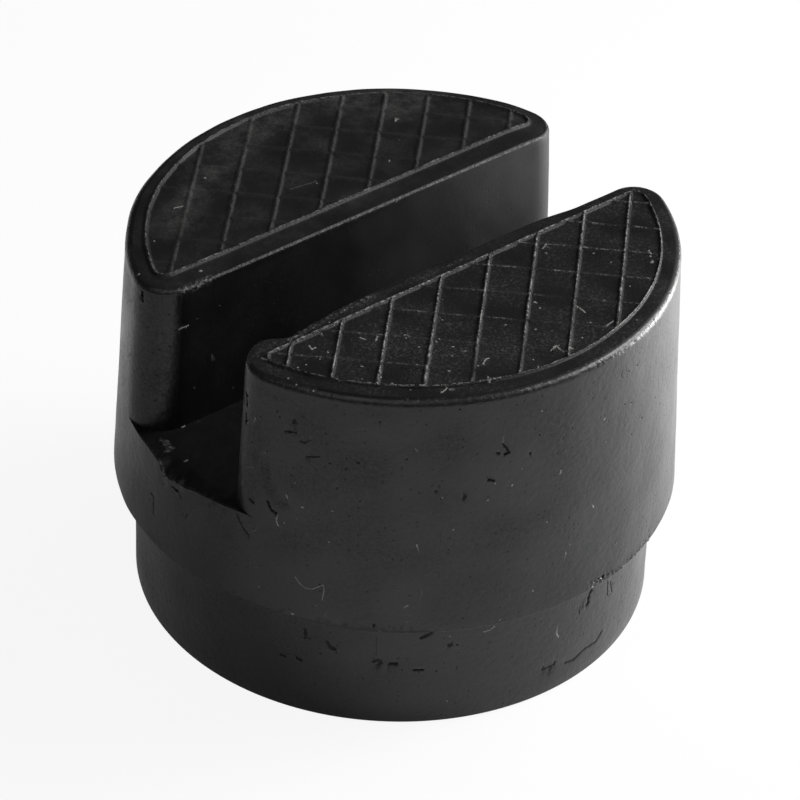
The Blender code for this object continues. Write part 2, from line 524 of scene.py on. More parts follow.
# %% [markdown]
# The slot's floor
#
# The floor lies between the walls of the two halves. At each mouth it runs out to the full round
# of the block, past the rounded corners of the halves, as a small ledge. So its boundary is made
# of both halves' lower edges and an arc across each mouth, with the same points as the sheets
# that meet it. Two patches can only be welded where their points agree.

# %% The slot's floor
MOUTH_POINTS = 36
FLOOR_REACH, FLOOR_HALF_WIDTH, FLOOR_GAP = 33, 12, 0.3
floor_rings = {side: half_outline(side, FLOOR_Z, 0.0, COLUMNS) for side in (FAR, NEAR)}
on_round = np.array([piece in (0, 4) or (piece == 1 and share == 0) for piece, share in COLUMNS])


def mouth_arc(end):
    """Points on the round side across one mouth, from the near half to the far one."""
    column = COLUMNS.index((1, 0.0) if end == LEFT else (4, 0.0))
    first = {side: floor_rings[side][column] for side in (FAR, NEAR)}
    low = math.atan2(first[NEAR][1], first[NEAR][0])
    high = math.atan2(first[FAR][1], first[FAR][0])
    if end == LEFT:
        low, high = low % math.tau, high % math.tau
    r = block_r(FLOOR_Z)
    angles = np.linspace(low, high, MOUTH_POINTS)
    return np.array([(r * math.cos(a), r * math.sin(a)) for a in angles])


def slot_floor():
    """The floor between the halves, out to the round side at both mouths."""
    by_slot = [k for k, (piece, share) in enumerate(COLUMNS)
               if piece in (1, 2, 3) or (piece == 4 and share == 0)]
    inner = {side: floor_rings[side][by_slot] for side in (FAR, NEAR)}
    right, left = mouth_arc(RIGHT), mouth_arc(LEFT)
    loop = np.concatenate((inner[NEAR], right[1:-1], inner[FAR][::-1], left[1:-1][::-1]))
    corner = FLOOR_REACH, FLOOR_HALF_WIDTH
    loose = staggered(tuple(-v for v in corner), corner, SPACING)
    points, faces = fill(loop, [], clear_of(loose, loop, FLOOR_GAP))
    return np.column_stack((points, np.full(len(points), FLOOR_Z))), faces


floor_patch = slot_floor()
print("slot floor:", len(floor_patch[1]), "triangles")

# %% [markdown]
# The full round below the floor
#
# Below the slot's floor the block is a plain turned shape: a profile of radius and height, swept
# round the axis. The sweep uses the angles where the sheets above already have points. The foot
# of the block is nearly sharp, the step's root is filled a little, and the spigot's lower edge is
# rounded, so that each edge catches the light as moulded rubber does.

# %% Angles of the full round
ANGLE_DECIMALS = 9


def full_ring():
    """Angles of the columns that run down the full round, in rising order."""
    rings = (floor_rings[FAR][on_round], floor_rings[NEAR][on_round],
             mouth_arc(RIGHT)[1:-1], mouth_arc(LEFT)[1:-1])
    angles = [math.atan2(y, x) for ring in rings for x, y in ring]
    return np.array(sorted(set(round(a, ANGLE_DECIMALS) for a in angles)))


RING = full_ring()
print(len(RING), "columns round the foot")

# %% The block's foot, the step and the spigot
FOOT_ARRIS, STEP_ROOT, BASE_ARRIS = 0.1, 0.25, 0.4
LEDGE_RINGS = (1.4, 0.8)
ARC_ROWS, LOWER_ROWS = 5, 10
BASE_REACH, BASE_SPACING, BASE_GAP = 31, 1.6, 1.0


def round_profile():
    """Radius and height down the block's side, over the step and the spigot to the base."""
    turns = np.linspace(0, math.pi / 2, ARC_ROWS)[1:]
    ledge = (*LEDGE_RINGS, STEP_ROOT)
    profile = [(block_r(z), z) for z in np.linspace(FLOOR_Z, STEP_Z + FOOT_ARRIS, LOWER_ROWS)]
    profile += [(FOOT_R - FOOT_ARRIS * (1 - math.cos(a)), STEP_Z + FOOT_ARRIS * (1 - math.sin(a)))
                for a in turns]
    profile += [(SPIGOT_R + r, STEP_Z) for r in ledge]
    profile += [(SPIGOT_R + STEP_ROOT * (1 - math.sin(a)), STEP_Z - STEP_ROOT * (1 - math.cos(a)))
                for a in turns]
    profile += [(SPIGOT_R, z) for z in np.linspace(STEP_Z - STEP_ROOT, BASE_ARRIS, LOWER_ROWS)[1:]]
    profile += [(SPIGOT_R - BASE_ARRIS * (1 - math.cos(a)), BASE_ARRIS * (1 - math.sin(a)))
                for a in turns]
    return profile


def lower_walls():
    """The turned sheet from the slot's floor down to the base."""
    rows = [np.column_stack((r * np.cos(RING), r * np.sin(RING), np.full(len(RING), z)))
            for r, z in round_profile()]
    return sheet(rows)


def base_patch():
    """The flat end that the pad stands on."""
    r = round_profile()[-1][0]
    loop = np.column_stack((r * np.cos(RING), r * np.sin(RING)))
    loose = staggered((-BASE_REACH, -BASE_REACH), (BASE_REACH, BASE_REACH), BASE_SPACING)
    loose = loose[np.hypot(loose[:, 0], loose[:, 1]) < r - BASE_GAP]
    points, faces = fill(loop, [], loose)
    return np.column_stack((points, np.zeros(len(points)))), faces


lower = lower_walls()
base = base_patch()
print("lower walls:", len(lower[1]), "quads, base:", len(base[1]), "triangles")

# %% [markdown]
# One skin
#
# The real pad is one moulding, so its model is one closed mesh. The patches share their boundary
# points, and points closer than two thousandths of a millimetre become one. An edge that has two
# faces is closed, so counting the others shows whether the skin is whole.

# %% Weld the patches into one skin
WELD_DISTANCE = 0.002


def weld(patches):
    """One closed mesh from patches that share their boundary points."""
    bm = bmesh.new()
    for points, faces in patches:
        verts = [bm.verts.new(p) for p in points]
        for face in faces:
            bm.faces.new([verts[k] for k in face])
    bmesh.ops.remove_doubles(bm, verts=bm.verts, dist=WELD_DISTANCE)
    bmesh.ops.triangulate(bm, faces=bm.faces)
    bmesh.ops.recalc_face_normals(bm, faces=bm.faces)
    return bm


skin = weld([tops[FAR], tops[NEAR], walls[FAR], walls[NEAR], floor_patch, lower, base])
open_edges = sum(1 for e in skin.edges if not e.is_manifold)
print("skin:", len(skin.faces), "triangles,", open_edges, "open edges, volume",
      round(skin.calc_volume(signed=True) / 1000, 2), "cm3")

# %% [markdown]
# Where the marks lie
#
# The real pad has been used. Its marks are given where the photo shows them, as pixel places,
# and each is carried to the pad by a ray from the camera through that pixel. The camera stands
# where the photo was taken from: 37 degrees above the floor, with a long lens. Its place and
# axes come first, because the marks need them before anything is rendered.

# %% Camera place
PHOTO_WIDTH = 800
LENS, SENSOR = 182.552, 36.0
EYE = Vector((-246.321, -286.373, 305.63))
CAMERA_RIGHT = Vector((0.7733, -0.63314, 0.03366)).normalized()
CAMERA_BACK = Vector((-0.52279, -0.60667, 0.59887)).normalized()
CAMERA_UP = CAMERA_BACK.cross(CAMERA_RIGHT).normalized()
CAMERA_RIGHT = CAMERA_UP.cross(CAMERA_BACK)
FRONT_PIXEL = (400, 600)
skin_tree = BVHTree.FromBMesh(skin)


def on_skin(pixel):
    """The skin's point behind a pixel of the photo, in millimetres, or None beside the pad."""
    focal = LENS / SENSOR * PHOTO_WIDTH
    across, down = pixel[0] - PHOTO_WIDTH / 2, pixel[1] - PHOTO_WIDTH / 2
    ray = CAMERA_RIGHT * across / focal - CAMERA_UP * down / focal - CAMERA_BACK
    return skin_tree.ray_cast(EYE, ray.normalized())[0]


print("pixel", FRONT_PIXEL, "lies at", [round(v, 1) for v in on_skin(FRONT_PIXEL)], "mm")

# %% [markdown]
# The kinds of mark
#
# A mark is a place, or a short line of places. Each kind has a radius and a height in
# millimetres, and two shares that the materials read: how much pale dust lies in it, and how
# dark it is. A cut has a negative height, and ragged says how uneven its outline is. Crumbs of
# dirt come first. They stand up a little from the rubber, because flat pale dots would vanish
# from the side, and the faint ones are half pressed into it.

# %% A list of marks
MARKS = []


def mark(lines, radius, height, dust=0.0, dark=0.0, ragged=0.4):
    """Adds marks of one kind. Each is a pixel of the photo, or a line of them."""
    for line in lines:
        line = (line,) if isinstance(line[0], (int, float)) else line
        MARKS.append((line, radius, height, dust, dark, ragged))


print(len(MARKS), "marks so far")

# %% Bright specks and crumbs
TREAD_SPECKS = (
    (298, 341), (306, 364), (328, 352), (320, 359), (331, 374), (337, 379), (362, 366), (362, 379),
    (387, 333), (404, 335), (407, 335), (406, 338), (409, 336), (419, 347), (436, 342), (442, 319),
    (453, 347), (410, 390), (313, 391), (296, 385), (329, 322), (334, 325), (313, 331), (322, 333),
    (298, 367), (381, 373), (381, 378), (288, 378), (439, 339), (417, 365), (452, 356), (465, 351),
    (448, 371), (478, 366), (520, 370), (538, 366), (533, 359), (555, 347), (559, 345), (573, 348),
    (621, 290), (630, 286), (637, 320), (546, 253), (594, 253), (582, 337), (604, 300), (631, 203),
    (646, 228), (658, 259), (611, 262), (154, 241), (206, 259), (317, 183), (395, 121),
    (389, 161), (535, 329), (590, 322), (505, 325))
LARGE_TREAD_SPECKS = (
    (139, 274), (200, 271), (205, 178), (392, 384), (535, 302), (540, 308), (488, 377), (489, 381),
    (650, 256), (651, 262), (620, 289), (571, 347))
TREAD_CRUMBS = (
    ((262, 358), (267, 360)), ((309, 345), (312, 349), (315, 347)), ((360, 337), (365, 339)),
    ((377, 336), (376, 340)), ((606, 326), (613, 321)), ((447, 388), (444, 391), (441, 393)),
    ((577, 306), (585, 312)), ((483, 364), (486, 359), (489, 358)), ((289, 336), (297, 334)),
    ((551, 350), (556, 345), (563, 351)), ((649, 250), (651, 254)), ((546, 244), (543, 248)),
    ((174, 208), (183, 206)))
WALL_SPECKS = (
    (542, 411), (606, 442), (522, 469), (255, 418), (244, 415), (242, 440), (242, 484), (417, 451),
    (417, 545), (329, 542), (332, 511), (284, 523), (295, 483), (317, 606), (407, 606), (450, 636),
    (447, 701), (533, 591), (566, 554), (570, 545), (616, 543), (500, 620), (442, 498), (488, 501),
    (547, 522), (453, 530), (127, 481))
LARGE_WALL_SPECKS = (
    (302, 507), (293, 614), (592, 587), (605, 419), (512, 486), (593, 507), (187, 460))
WALL_CRUMBS = (
    ((277, 515), (276, 520), (278, 526)), ((286, 495), (287, 498)), ((556, 633), (558, 637)),
    ((484, 632), (490, 630), (494, 627)), ((561, 471), (560, 474)), ((182, 427), (185, 426)),
    ((179, 330), (182, 328), (188, 326)))
FAINT_SPECKS = (
    (212, 355), (259, 587), (325, 615), (422, 595), (379, 631), (407, 622), (590, 541), (638, 494),
    (616, 459), (198, 421), (169, 330), (197, 319), (194, 388), (233, 388), (220, 306), (418, 401),
    (408, 400))
FAINT_CRUMBS = (
    ((262, 452), (266, 453)), ((247, 467), (253, 467)), ((503, 437), (503, 443)),
    ((127, 481), (137, 483)), ((252, 531), (255, 531)), ((414, 668), (423, 668)),
    ((290, 189), (303, 185), (316, 181)))
mark(TREAD_SPECKS, radius=0.12, height=0.05, dust=1.0)
mark(LARGE_TREAD_SPECKS, radius=0.19, height=0.08, dust=1.0)
mark(TREAD_CRUMBS, radius=0.11, height=0.05, dust=1.0)
mark(WALL_SPECKS, radius=0.11, height=0.05, dust=0.8)
mark(LARGE_WALL_SPECKS, radius=0.17, height=0.08, dust=1.0)
mark(WALL_CRUMBS, radius=0.11, height=0.05, dust=0.9)
mark(FAINT_SPECKS, radius=0.13, height=0.03, dust=0.25)
mark(FAINT_CRUMBS, radius=0.11, height=0.02, dust=0.18)
print(len(MARKS), "specks and crumbs")

# %% [markdown]
# A thread of lint
#
# One short hair of lint clings to the front of the foot. It could be a curve lying on the wall,
# but as a thin smooth ridge of the same skin it can't float off it or sink in.

# %% Lint
LINT = (((295, 577), (300, 584), (305, 588), (312, 589), (318, 587), (323, 585), (324, 590),
         (322, 600)),)
mark(LINT, radius=0.075, height=0.06, dust=0.8, ragged=0.05)
print("lint over", len(LINT[0]), "places")

# %% [markdown]
# Pits, cuts and chips
#
# Knocks have left small holes and cuts in the walls, and a few long scrapes by the foot. They
# look almost black, because light that goes in hardly comes out again. Here they are real
# hollows, with a dark share that paints the shade inside them, as a hollow of a tenth of a
# millimetre wouldn't shade itself. A dark line just under the step's edge is painted shadow.

# %% Places of the pits and cuts
SMALL_PITS = (
    (261, 416), (277, 412), (280, 417), (289, 432), (330, 463), (345, 469), (358, 463), (337, 488),
    (360, 501), (380, 422), (407, 459), (130, 336), (130, 357), (131, 301), (460, 409), (539, 435),
    (572, 428), (631, 403), (625, 405), (637, 366), (629, 372), (621, 378), (632, 434), (642, 418),
    (655, 398), (659, 404), (261, 647), (320, 654), (402, 670), (436, 671), (448, 645), (457, 645))
PITS = (
    ((489, 480), (494, 481)), (530, 454), ((503, 444), (507, 449), (509, 452), (505, 455)), (499, 454),
    ((249, 499), (253, 503)), ((280, 655), (285, 657)), ((296, 658), (301, 661)),
    ((390, 664), (397, 664)), ((413, 670), (423, 670)), (554, 665))
SOFT_PITS = (
    ((305, 631), (305, 637)), ((327, 643), (330, 648), (334, 650)),
    ((373, 662), (378, 660), (381, 663), (377, 665)), ((421, 638), (431, 633)), ((553, 665), (542, 670)),
    (452, 645), (436, 491), (463, 498), (294, 420), (186, 518))
SLITS = (((246, 394), (247, 406)), ((246, 414), (246, 423)), ((142, 293), (142, 301)))
THIN_CUTS = (
    ((236, 514), (240, 523), (244, 530), (249, 536)), ((150, 493), (153, 497), (153, 514)),
    ((180, 490), (181, 495)), ((300, 441), (304, 443), (308, 441)),
    ((306, 457), (319, 457)), ((285, 431), (296, 433)), ((608, 581), (608, 596)),
    ((611, 582), (612, 592)), ((587, 604), (579, 609), (579, 614)))
DEEP_CUTS = (
    ((267, 502), (271, 510), (276, 514)), ((592, 589), (589, 595), (588, 603)),
    ((172, 480), (178, 486)))
SCRATCHES = (((376, 637), (376, 656)),)
# Painted shadow: a thin dark line on the spigot just under the step's edge, with a faint groove
STEP_SHADOW_LINE = (((225, 593), (255, 605), (279, 614), (315, 622), (351, 628), (388, 631), (430, 632)),)
LONG_SCRAPES = (((602, 631), (595, 642), (584, 649), (574, 659), (565, 663)),)
print(len(SMALL_PITS) + len(PITS) + len(SOFT_PITS), "pits")

# %% Their sizes
mark(SMALL_PITS, radius=0.14, height=-0.10, dark=0.6)
mark(PITS, radius=0.21, height=-0.16, dark=0.9)
mark(SOFT_PITS, radius=0.32, height=-0.10, dark=0.8, ragged=0.5)
mark(SLITS, radius=0.22, height=-0.40, dark=1.0)
mark(THIN_CUTS, radius=0.12, height=-0.10, dark=0.6, ragged=0.6)
mark(SCRATCHES, radius=0.10, height=-0.03, dark=0.35, ragged=0.6)
# The step line's dark share is painted shadow under the step's edge
mark(STEP_SHADOW_LINE, radius=0.30, height=-0.03, dark=0.35, ragged=0.7)
mark(DEEP_CUTS, radius=0.22, height=-0.22, dark=0.9)
mark(LONG_SCRAPES, radius=0.28, height=-0.07, dark=0.9, ragged=0.3)
print(len(MARKS), "marks with pits and cuts")

# %% [markdown]
# Smears and stains
#
# Where the pad was handled or lay in dirt, a thin film of pale dust or of dark dirt has stayed,
# with little or no height. These are wide and soft, so they need no finer skin.

# %% Smears and stains
SMALL_SMEARS = (((167, 441), (168, 450)), (182, 476))
WIDE_SMEARS = (
    ((430, 355), (470, 352), (510, 350)), ((560, 340), (585, 330)), ((380, 350), (420, 345)),
    ((176, 220), (196, 190), (222, 160)), ((240, 140), (290, 112)), ((330, 100), (400, 100)))
DARK_SMEARS = (((211, 489), (221, 489)), ((216, 498), (228, 500)))
STAINS = (((264, 466), (268, 480), (271, 492), (276, 500)), ((158, 378), (160, 396)))
# A wide soft darker band down the left side of the block
LEFT_SIDE_DARKENING = (((152, 300), (152, 340), (152, 395)),)
mark(SMALL_SMEARS, radius=0.55, height=0.0, dust=0.45)
mark(WIDE_SMEARS, radius=5.0, height=0.0, dust=0.15)
mark(DARK_SMEARS, radius=0.7, height=-0.05, dark=0.9, ragged=0.7)
mark(STAINS, radius=1.0, height=-0.02, dark=0.7, ragged=0.7)
mark(LEFT_SIDE_DARKENING, radius=4.0, height=0.0, dark=0.5, ragged=0.3)
print(len(MARKS), "marks in all")

# %% [markdown]
# Marks carried to the skin
#
# Each line of pixels is filled in with further pixels, and a ray carries each to the skin. A
# mark whose rays all pass beside the pad is left out. From here on a mark has its true place in
# space, so it stays on the rubber from any side.

# %% Marks on the skin
PIXEL_STEP = 4


def carried(line):
    """A line of pixels as points on the skin, at most PIXEL_STEP pixels apart."""
    pixels = [np.array(line[0], float)]
    for a, b in zip(line, line[1:]):
        a, b = np.array(a, float), np.array(b, float)
        count = max(1, math.ceil(np.linalg.norm(b - a) / PIXEL_STEP))
        pixels += [a + (b - a) * k / count for k in range(1, count + 1)]
    points = [on_skin(p) for p in pixels]
    return np.array([tuple(p) for p in points if p is not None])


placed = [(carried(line), *rest) for line, *rest in MARKS]
placed = [m for m in placed if len(m[0])]
print(len(placed), "marks lie on the pad")

# %% [markdown]
# Edges that were rubbed and nicked
#
# Along some stretches an edge is rough all the way, with many small nicks. Each such stretch is
# one line with a half width, the height of its bumps, their length, and the share of pale dust
# that has caught on them. Drawing each nick by itself would take hundreds of marks.

# %% Rough edges
ROUGH = []


def rough_edge(line, radius, height, wave, dust):
    """Adds a rough stretch, given by pixels. The other lengths are in millimetres."""
    ROUGH.append((carried(line), radius, height, wave, dust))


KNOCKED_CORNER = ((249, 362), (258, 352), (266, 347), (278, 343), (290, 341))
NEAR_SLOT_EDGE = ((288, 338), (298, 333), (320, 321), (345, 308), (372, 297))
NEAR_SLOT_EDGE_RIGHT = ((372, 297), (420, 278), (470, 256))
FAR_SLOT_EDGE = ((182, 291), (196, 286), (209, 279))
FAR_SLOT_EDGE_RIGHT = ((209, 279), (250, 262), (300, 241), (350, 220), (400, 199))
FRONT_EDGE = ((400, 402), (450, 401), (489, 397), (530, 390), (562, 379))
FRONT_EDGE_RIGHT = ((562, 379), (593, 364), (623, 348), (645, 332), (663, 314))
NEAR_CORNER = ((244, 400), (243, 430), (241, 470))
FOOT_EDGE = ((589, 585), (605, 576), (623, 567), (635, 556), (649, 539))
rough_edge(KNOCKED_CORNER, radius=0.9, height=0.05, wave=0.9, dust=0.15)
rough_edge(NEAR_SLOT_EDGE, radius=0.8, height=0.04, wave=0.45, dust=0.5)
rough_edge(NEAR_SLOT_EDGE_RIGHT, radius=0.5, height=0.02, wave=0.5, dust=0.2)
rough_edge(FAR_SLOT_EDGE, radius=0.9, height=0.05, wave=0.45, dust=0.6)
rough_edge(FAR_SLOT_EDGE_RIGHT, radius=0.35, height=0.01, wave=0.5, dust=0.35)
rough_edge(FRONT_EDGE, radius=0.6, height=0.012, wave=0.45, dust=0.15)
rough_edge(FRONT_EDGE_RIGHT, radius=0.9, height=0.015, wave=0.45, dust=0.2)
rough_edge(NEAR_CORNER, radius=0.4, height=0.03, wave=0.6, dust=0.2)
rough_edge(FOOT_EDGE, radius=0.7, height=0.10, wave=0.6, dust=0.1)
print(len(ROUGH), "rough stretches")

# %% [markdown]
# Finer skin near the marks
#
# The skin's triangles are about 0.8 mm long, and a speck is only 0.3 mm across. Splitting every
# triangle would cost millions, so only the edges near a mark are split, a few times over, until
# they are about half as long as the mark's radius.

# %% Distance to a mark


def line_distance(points, line):
    """Distance from each point to a line of points."""
    if len(line) == 1:
        return np.linalg.norm(points - line[0], axis=1)
    best = np.full(len(points), np.inf)
    for a, b in zip(line, line[1:]):
        along = b - a
        length = max(along @ along, 1e-9)
        t = np.clip((points - a) @ along / length, 0.0, 1.0)
        best = np.minimum(best, np.linalg.norm(points - a - t[:, None] * along, axis=1))
    return best


def near(points, line, reach):
    """Indices of the points within reach of a line's box, for speed."""
    low, high = line.min(axis=0) - reach, line.max(axis=0) + reach
    return np.nonzero(np.all((points > low) & (points < high), axis=1))[0]


test_line = np.array(((0.0, 0.0, 0.0), (2.0, 0.0, 0.0)))
print("distance from (1, 1, 0):", line_distance(np.array(((1.0, 1.0, 0.0),)), test_line)[0], "mm")

# %% Split the edges near some lines
BOX_MARGIN = 0.4  # about half the length of an edge


def place_array(bm):
    """The places of all points of the mesh."""
    return np.array([tuple(v.co) for v in bm.verts])


def split_near(bm, targets):
    """Splits the edges near each target line that are longer than its wanted length."""
    bm.edges.ensure_lookup_table()
    at = place_array(bm)
    ends = np.array([(e.verts[0].index, e.verts[1].index) for e in bm.edges])
    middle = (at[ends[:, 0]] + at[ends[:, 1]]) / 2
    length = np.linalg.norm(at[ends[:, 0]] - at[ends[:, 1]], axis=1)
    chosen = np.zeros(len(ends), bool)
    for line, reach, wanted in targets:
        close = near(middle, line, reach + BOX_MARGIN)
        gap = line_distance(middle[close], line)
        chosen[close] |= (gap < reach + length[close] / 2) & (length[close] > wanted)
    edges = [bm.edges[k] for k in np.nonzero(chosen)[0]]
    if edges:
        bmesh.ops.subdivide_edges(bm, edges=edges, cuts=1)
        bmesh.ops.triangulate(bm, faces=[f for f in bm.faces if len(f.verts) > 3])
        bm.verts.index_update()
    return len(edges)


print(len(place_array(skin)), "points before the edges are split")

# %% Split the skin where it is marked
FINEST, FINE_SHARE, REACH_SHARE = 0.085, 0.6, 1.15
WIDEST_SPLIT = 0.8
ROUGH_LENGTH = 0.34
MOUTH_REACH, MOUTH_LENGTH = 2.2, ROUGH_LENGTH * 1.3
SPLIT_ROUNDS = 5
targets = [(line, radius * REACH_SHARE, max(radius * FINE_SHARE, FINEST))
           for line, radius, *rest in placed if radius < WIDEST_SPLIT]
targets += [(line, radius, ROUGH_LENGTH) for line, radius, *rest in ROUGH]
mouth = np.array([(*p, FLOOR_Z) for p in mouth_arc(LEFT)])
targets.append((mouth, MOUTH_REACH, MOUTH_LENGTH))
for split_round in range(SPLIT_ROUNDS):
    print("split", split_near(skin, targets), "edges")
print(len(skin.faces), "triangles")

# %% [markdown]
# Waviness of the whole skin
#
# Now the points get their moves. First comes what the whole surface shares: a slow waviness, as
# moulded rubber has when it leaves a warm mould. It fades out towards the base, which is flat
# because the pad stands on it. The moves are gathered in one array, and nothing moves yet.

# %% Waviness
SHRINK, FLAT_BELOW = 0.03, 2.0
BROAD_HEIGHT, BROAD_LENGTH = 0.035, 14.0
FINE_HEIGHT, FINE_LENGTH = 0.012, 4.0
ON_TOP = TOP_Z - 0.001
skin.normal_update()
at = place_array(skin)
normals = np.array([tuple(v.normal) for v in skin.verts])
count = len(at)
waves = BROAD_HEIGHT * ripple(at, BROAD_LENGTH, seed=21)
waves = waves + FINE_HEIGHT * ripple(at, FINE_LENGTH, seed=22)
move = normals * (np.clip(at[:, 2] / FLAT_BELOW, 0.0, 1.0) * (waves - SHRINK))[:, None]
print("waviness moves", count, "points")

# %% [markdown]
# Cutting and raising the marks
#
# Each mark moves the points near it along their normals, most on its line and less outwards.
# Noise bends its outline, so that no pit is a perfect dish. Each mark also leaves shares for the
# materials: dust and dark where it is narrow, smear and stain where it is wide, because a wide
# film is broken up by the material and a narrow mark isn't.

# %% Moves of the marks
NARROW, WIDE = 0.5, 2
OUTLINE_SHARE, PLATEAU = 2.5, 1.6
MARK_REACH, MARK_SEED = 1.8, 100
ROUGH_REACH, ROUGH_SEED = 1.2, 300
DUST_MEAN, DUST_MOST = 0.5, 1.5
dust, smear, dark, stain = (np.zeros(count) for k in range(4))


def swell(distance, radius):
    """1 on the mark's line, falling smoothly to 0 at its radius."""
    t = np.clip(distance / radius, 0.0, 1.0)
    return (1 - t * t) ** 2


for number, (line, radius, height, pale, deep, ragged) in enumerate(placed):
    here = near(at, line, radius * MARK_REACH)
    if not len(here):
        continue
    distance = line_distance(at[here], line)
    unevenness = ripple(at[here], radius * OUTLINE_SHARE, MARK_SEED + number)
    share = swell(distance * (1 + ragged * unevenness), radius)
    move[here] += normals[here] * (height * share)[:, None]
    # A narrow mark's dark share is painted shade in its hollow, or the painted shadow under the step's
    # edge; a wide one's goes to the stain share
    pale_share, dark_share = (dust, dark) if radius < NARROW else (smear, stain)
    share = np.clip(PLATEAU * share, 0, 1) if radius < WIDE else share
    pale_share[here] = np.maximum(pale_share[here], share * pale)
    dark_share[here] = np.maximum(dark_share[here], share * deep)

for number, (line, radius, height, wave, pale) in enumerate(ROUGH):
    here = near(at, line, radius * ROUGH_REACH)
    share = swell(line_distance(at[here], line), radius)
    bumps = ripple(at[here], wave, ROUGH_SEED + number)
    move[here] += normals[here] * (height * bumps * share)[:, None]
    smear[here] = np.maximum(smear[here], pale * share * np.clip(DUST_MEAN + bumps, 0, DUST_MOST))
print("largest move", round(float(np.linalg.norm(move, axis=1).max()), 3), "mm")

# %% [markdown]
# Haze and film
#
# Dust also lies thinly where there is no mark. The near top has grains that can be told apart,
# so they go with the smears. On the far top the dust looks blurred, and it lies thickest on
# the ribs. The slot's floor and the walls have a trace of it. The walls also have a thin dark
# film, denser high up on the left of the front. All but the ribs' and the floor's share vary
# slowly from place to place.

# %% Haze and film
TOP_HAZE = {FAR: 0.035, NEAR: 0.06}
TOP_LENGTH, TOP_SWING = 6.0, 0.8
SMEAR_IN_HAZE, RIB_HAZE, RIB_HAZE_FULL = 1.1, 0.05, 0.08
FLOOR_HAZE, AT_FLOOR = 0.03, 0.01
WALL_HAZE, WALL_LENGTH, WALL_MEAN = 0.014, 9.0, 0.3
WALL_TOP = TOP_Z - 1.0
FILM, FILM_HIGHER = 0.2, 0.2
FILM_LENGTH, FILM_MEAN, FILM_SWING, FILM_MOST = 8.0, 0.7, 0.6, 1.2
FILM_FROM_Z, FILM_RISE = 18.0, 14.0
FILM_TO_X, FILM_RUN = 14.0, 20.0
on_top = at[:, 2] > ON_TOP
far_top = on_top & (at[:, 1] > 0)
grainy = np.where(at[:, 1] > 0, TOP_HAZE[FAR], TOP_HAZE[NEAR])
grainy = grainy * np.clip(1 + TOP_SWING * ripple(at, TOP_LENGTH, seed=41), 0, 2)
smear = np.maximum(smear, grainy * on_top)
on_ribs = np.zeros(count)
on_ribs[far_top] = np.clip(tread_height(at[far_top, :2], FAR) / RIB_HAZE_FULL, 0, 1)
haze = np.where(far_top, np.maximum(SMEAR_IN_HAZE * smear, RIB_HAZE * on_ribs), 0.0)
haze = np.where(np.abs(at[:, 2] - FLOOR_Z) < AT_FLOOR, FLOOR_HAZE, haze)
trace = WALL_HAZE * np.clip(WALL_MEAN + ripple(at, WALL_LENGTH, seed=51), 0, 1)
haze = np.where(at[:, 2] < WALL_TOP, np.maximum(haze, trace), haze)
higher = np.clip((at[:, 2] - FILM_FROM_Z) / FILM_RISE, 0, 1)
higher = higher * np.clip((FILM_TO_X - at[:, 0]) / FILM_RUN, 0, 1)
cloudy = FILM_MEAN + FILM_SWING * ripple(at, FILM_LENGTH, seed=52)
film = (FILM + FILM_HIGHER * higher) * np.clip(cloudy, 0, FILM_MOST)
stain = np.where(at[:, 2] < WALL_TOP, np.maximum(stain, film), stain)
smear = np.where(far_top, 0.0, smear)
print("haze on", int((haze > 0).sum()), "points, film on", int((at[:, 2] < WALL_TOP).sum()))

# %% [markdown]
# The knocked corner
#
# At the left end of the near half, the slot's top edge has a bite of about a millimetre, beside
# a corner that stands a little proud. It is too large for a mark, so it is a curve of depth
# against x, which fades out away from the slot and down the wall.

# %% The knock
KNOCK_X = (-29.0, -27.0, -25.0, -23.8, -22.4, -20.9, -17.6, -14.5, -11.0)
KNOCK_DEPTH = (0.30, -0.05, -0.30, 0.25, 1.05, 0.75, 0.45, 0.15, 0.0)
KNOCK_BACK_Y, KNOCK_WIDTH = 8.2, 1.8
KNOCK_LOW_Z, KNOCK_RISE = 42.5, 3.9
KNOCK_SINK, SEEN = 0.35, 0.01
KNOCK_SWING, KNOCK_LENGTH = 0.12, 0.9
depth = np.interp(at[:, 0], KNOCK_X, KNOCK_DEPTH) * (at[:, 0] < KNOCK_X[-1])
by_slot = np.clip((at[:, 1] + KNOCK_BACK_Y) / KNOCK_WIDTH, 0.0, 1.0) * (at[:, 1] < 0)
high_up = np.clip((at[:, 2] - KNOCK_LOW_Z) / KNOCK_RISE, 0.0, 1.0) ** 2
bite = depth * by_slot * high_up * (1 + KNOCK_SWING * ripple(at, KNOCK_LENGTH, seed=31))
move[:, 1] -= bite
move[:, 2] -= KNOCK_SINK * np.maximum(bite, 0.0) * by_slot
print("the knock moves", int((np.abs(bite) > SEEN).sum()), "points")

# %% [markdown]
# The worn corner
#
# The right end of the far half is worn down by a third of a millimetre, most at its tip. A
# smooth hollow round one place on the edge gives it.

# %% The worn corner
WORN_CORNER = (541, 119)
WORN_REACH, WORN_DEPTH, WORN_BELOW = 3.2, 0.35, 3.0
worn_at = np.array(tuple(on_skin(WORN_CORNER)))
away = np.linalg.norm(at - worn_at, axis=1) / WORN_REACH
high_up = np.clip((at[:, 2] - TOP_Z + WORN_BELOW) / WORN_BELOW, 0.0, 1.0)
worn = WORN_DEPTH * np.exp(-away ** 2) * high_up
move[:, 2] -= worn
print("the worn corner moves", int((worn > SEEN).sum()), "points")

# %% [markdown]
# The torn mouth
#
# Below the left mouth, the edge of the slot's floor is torn, with a notch 2 mm deep where a lip
# of rubber has gone. Its depth is a curve against the angle round the pad. It fades out over
# the floor inwards and down the block's side, so the skin folds over into the notch.

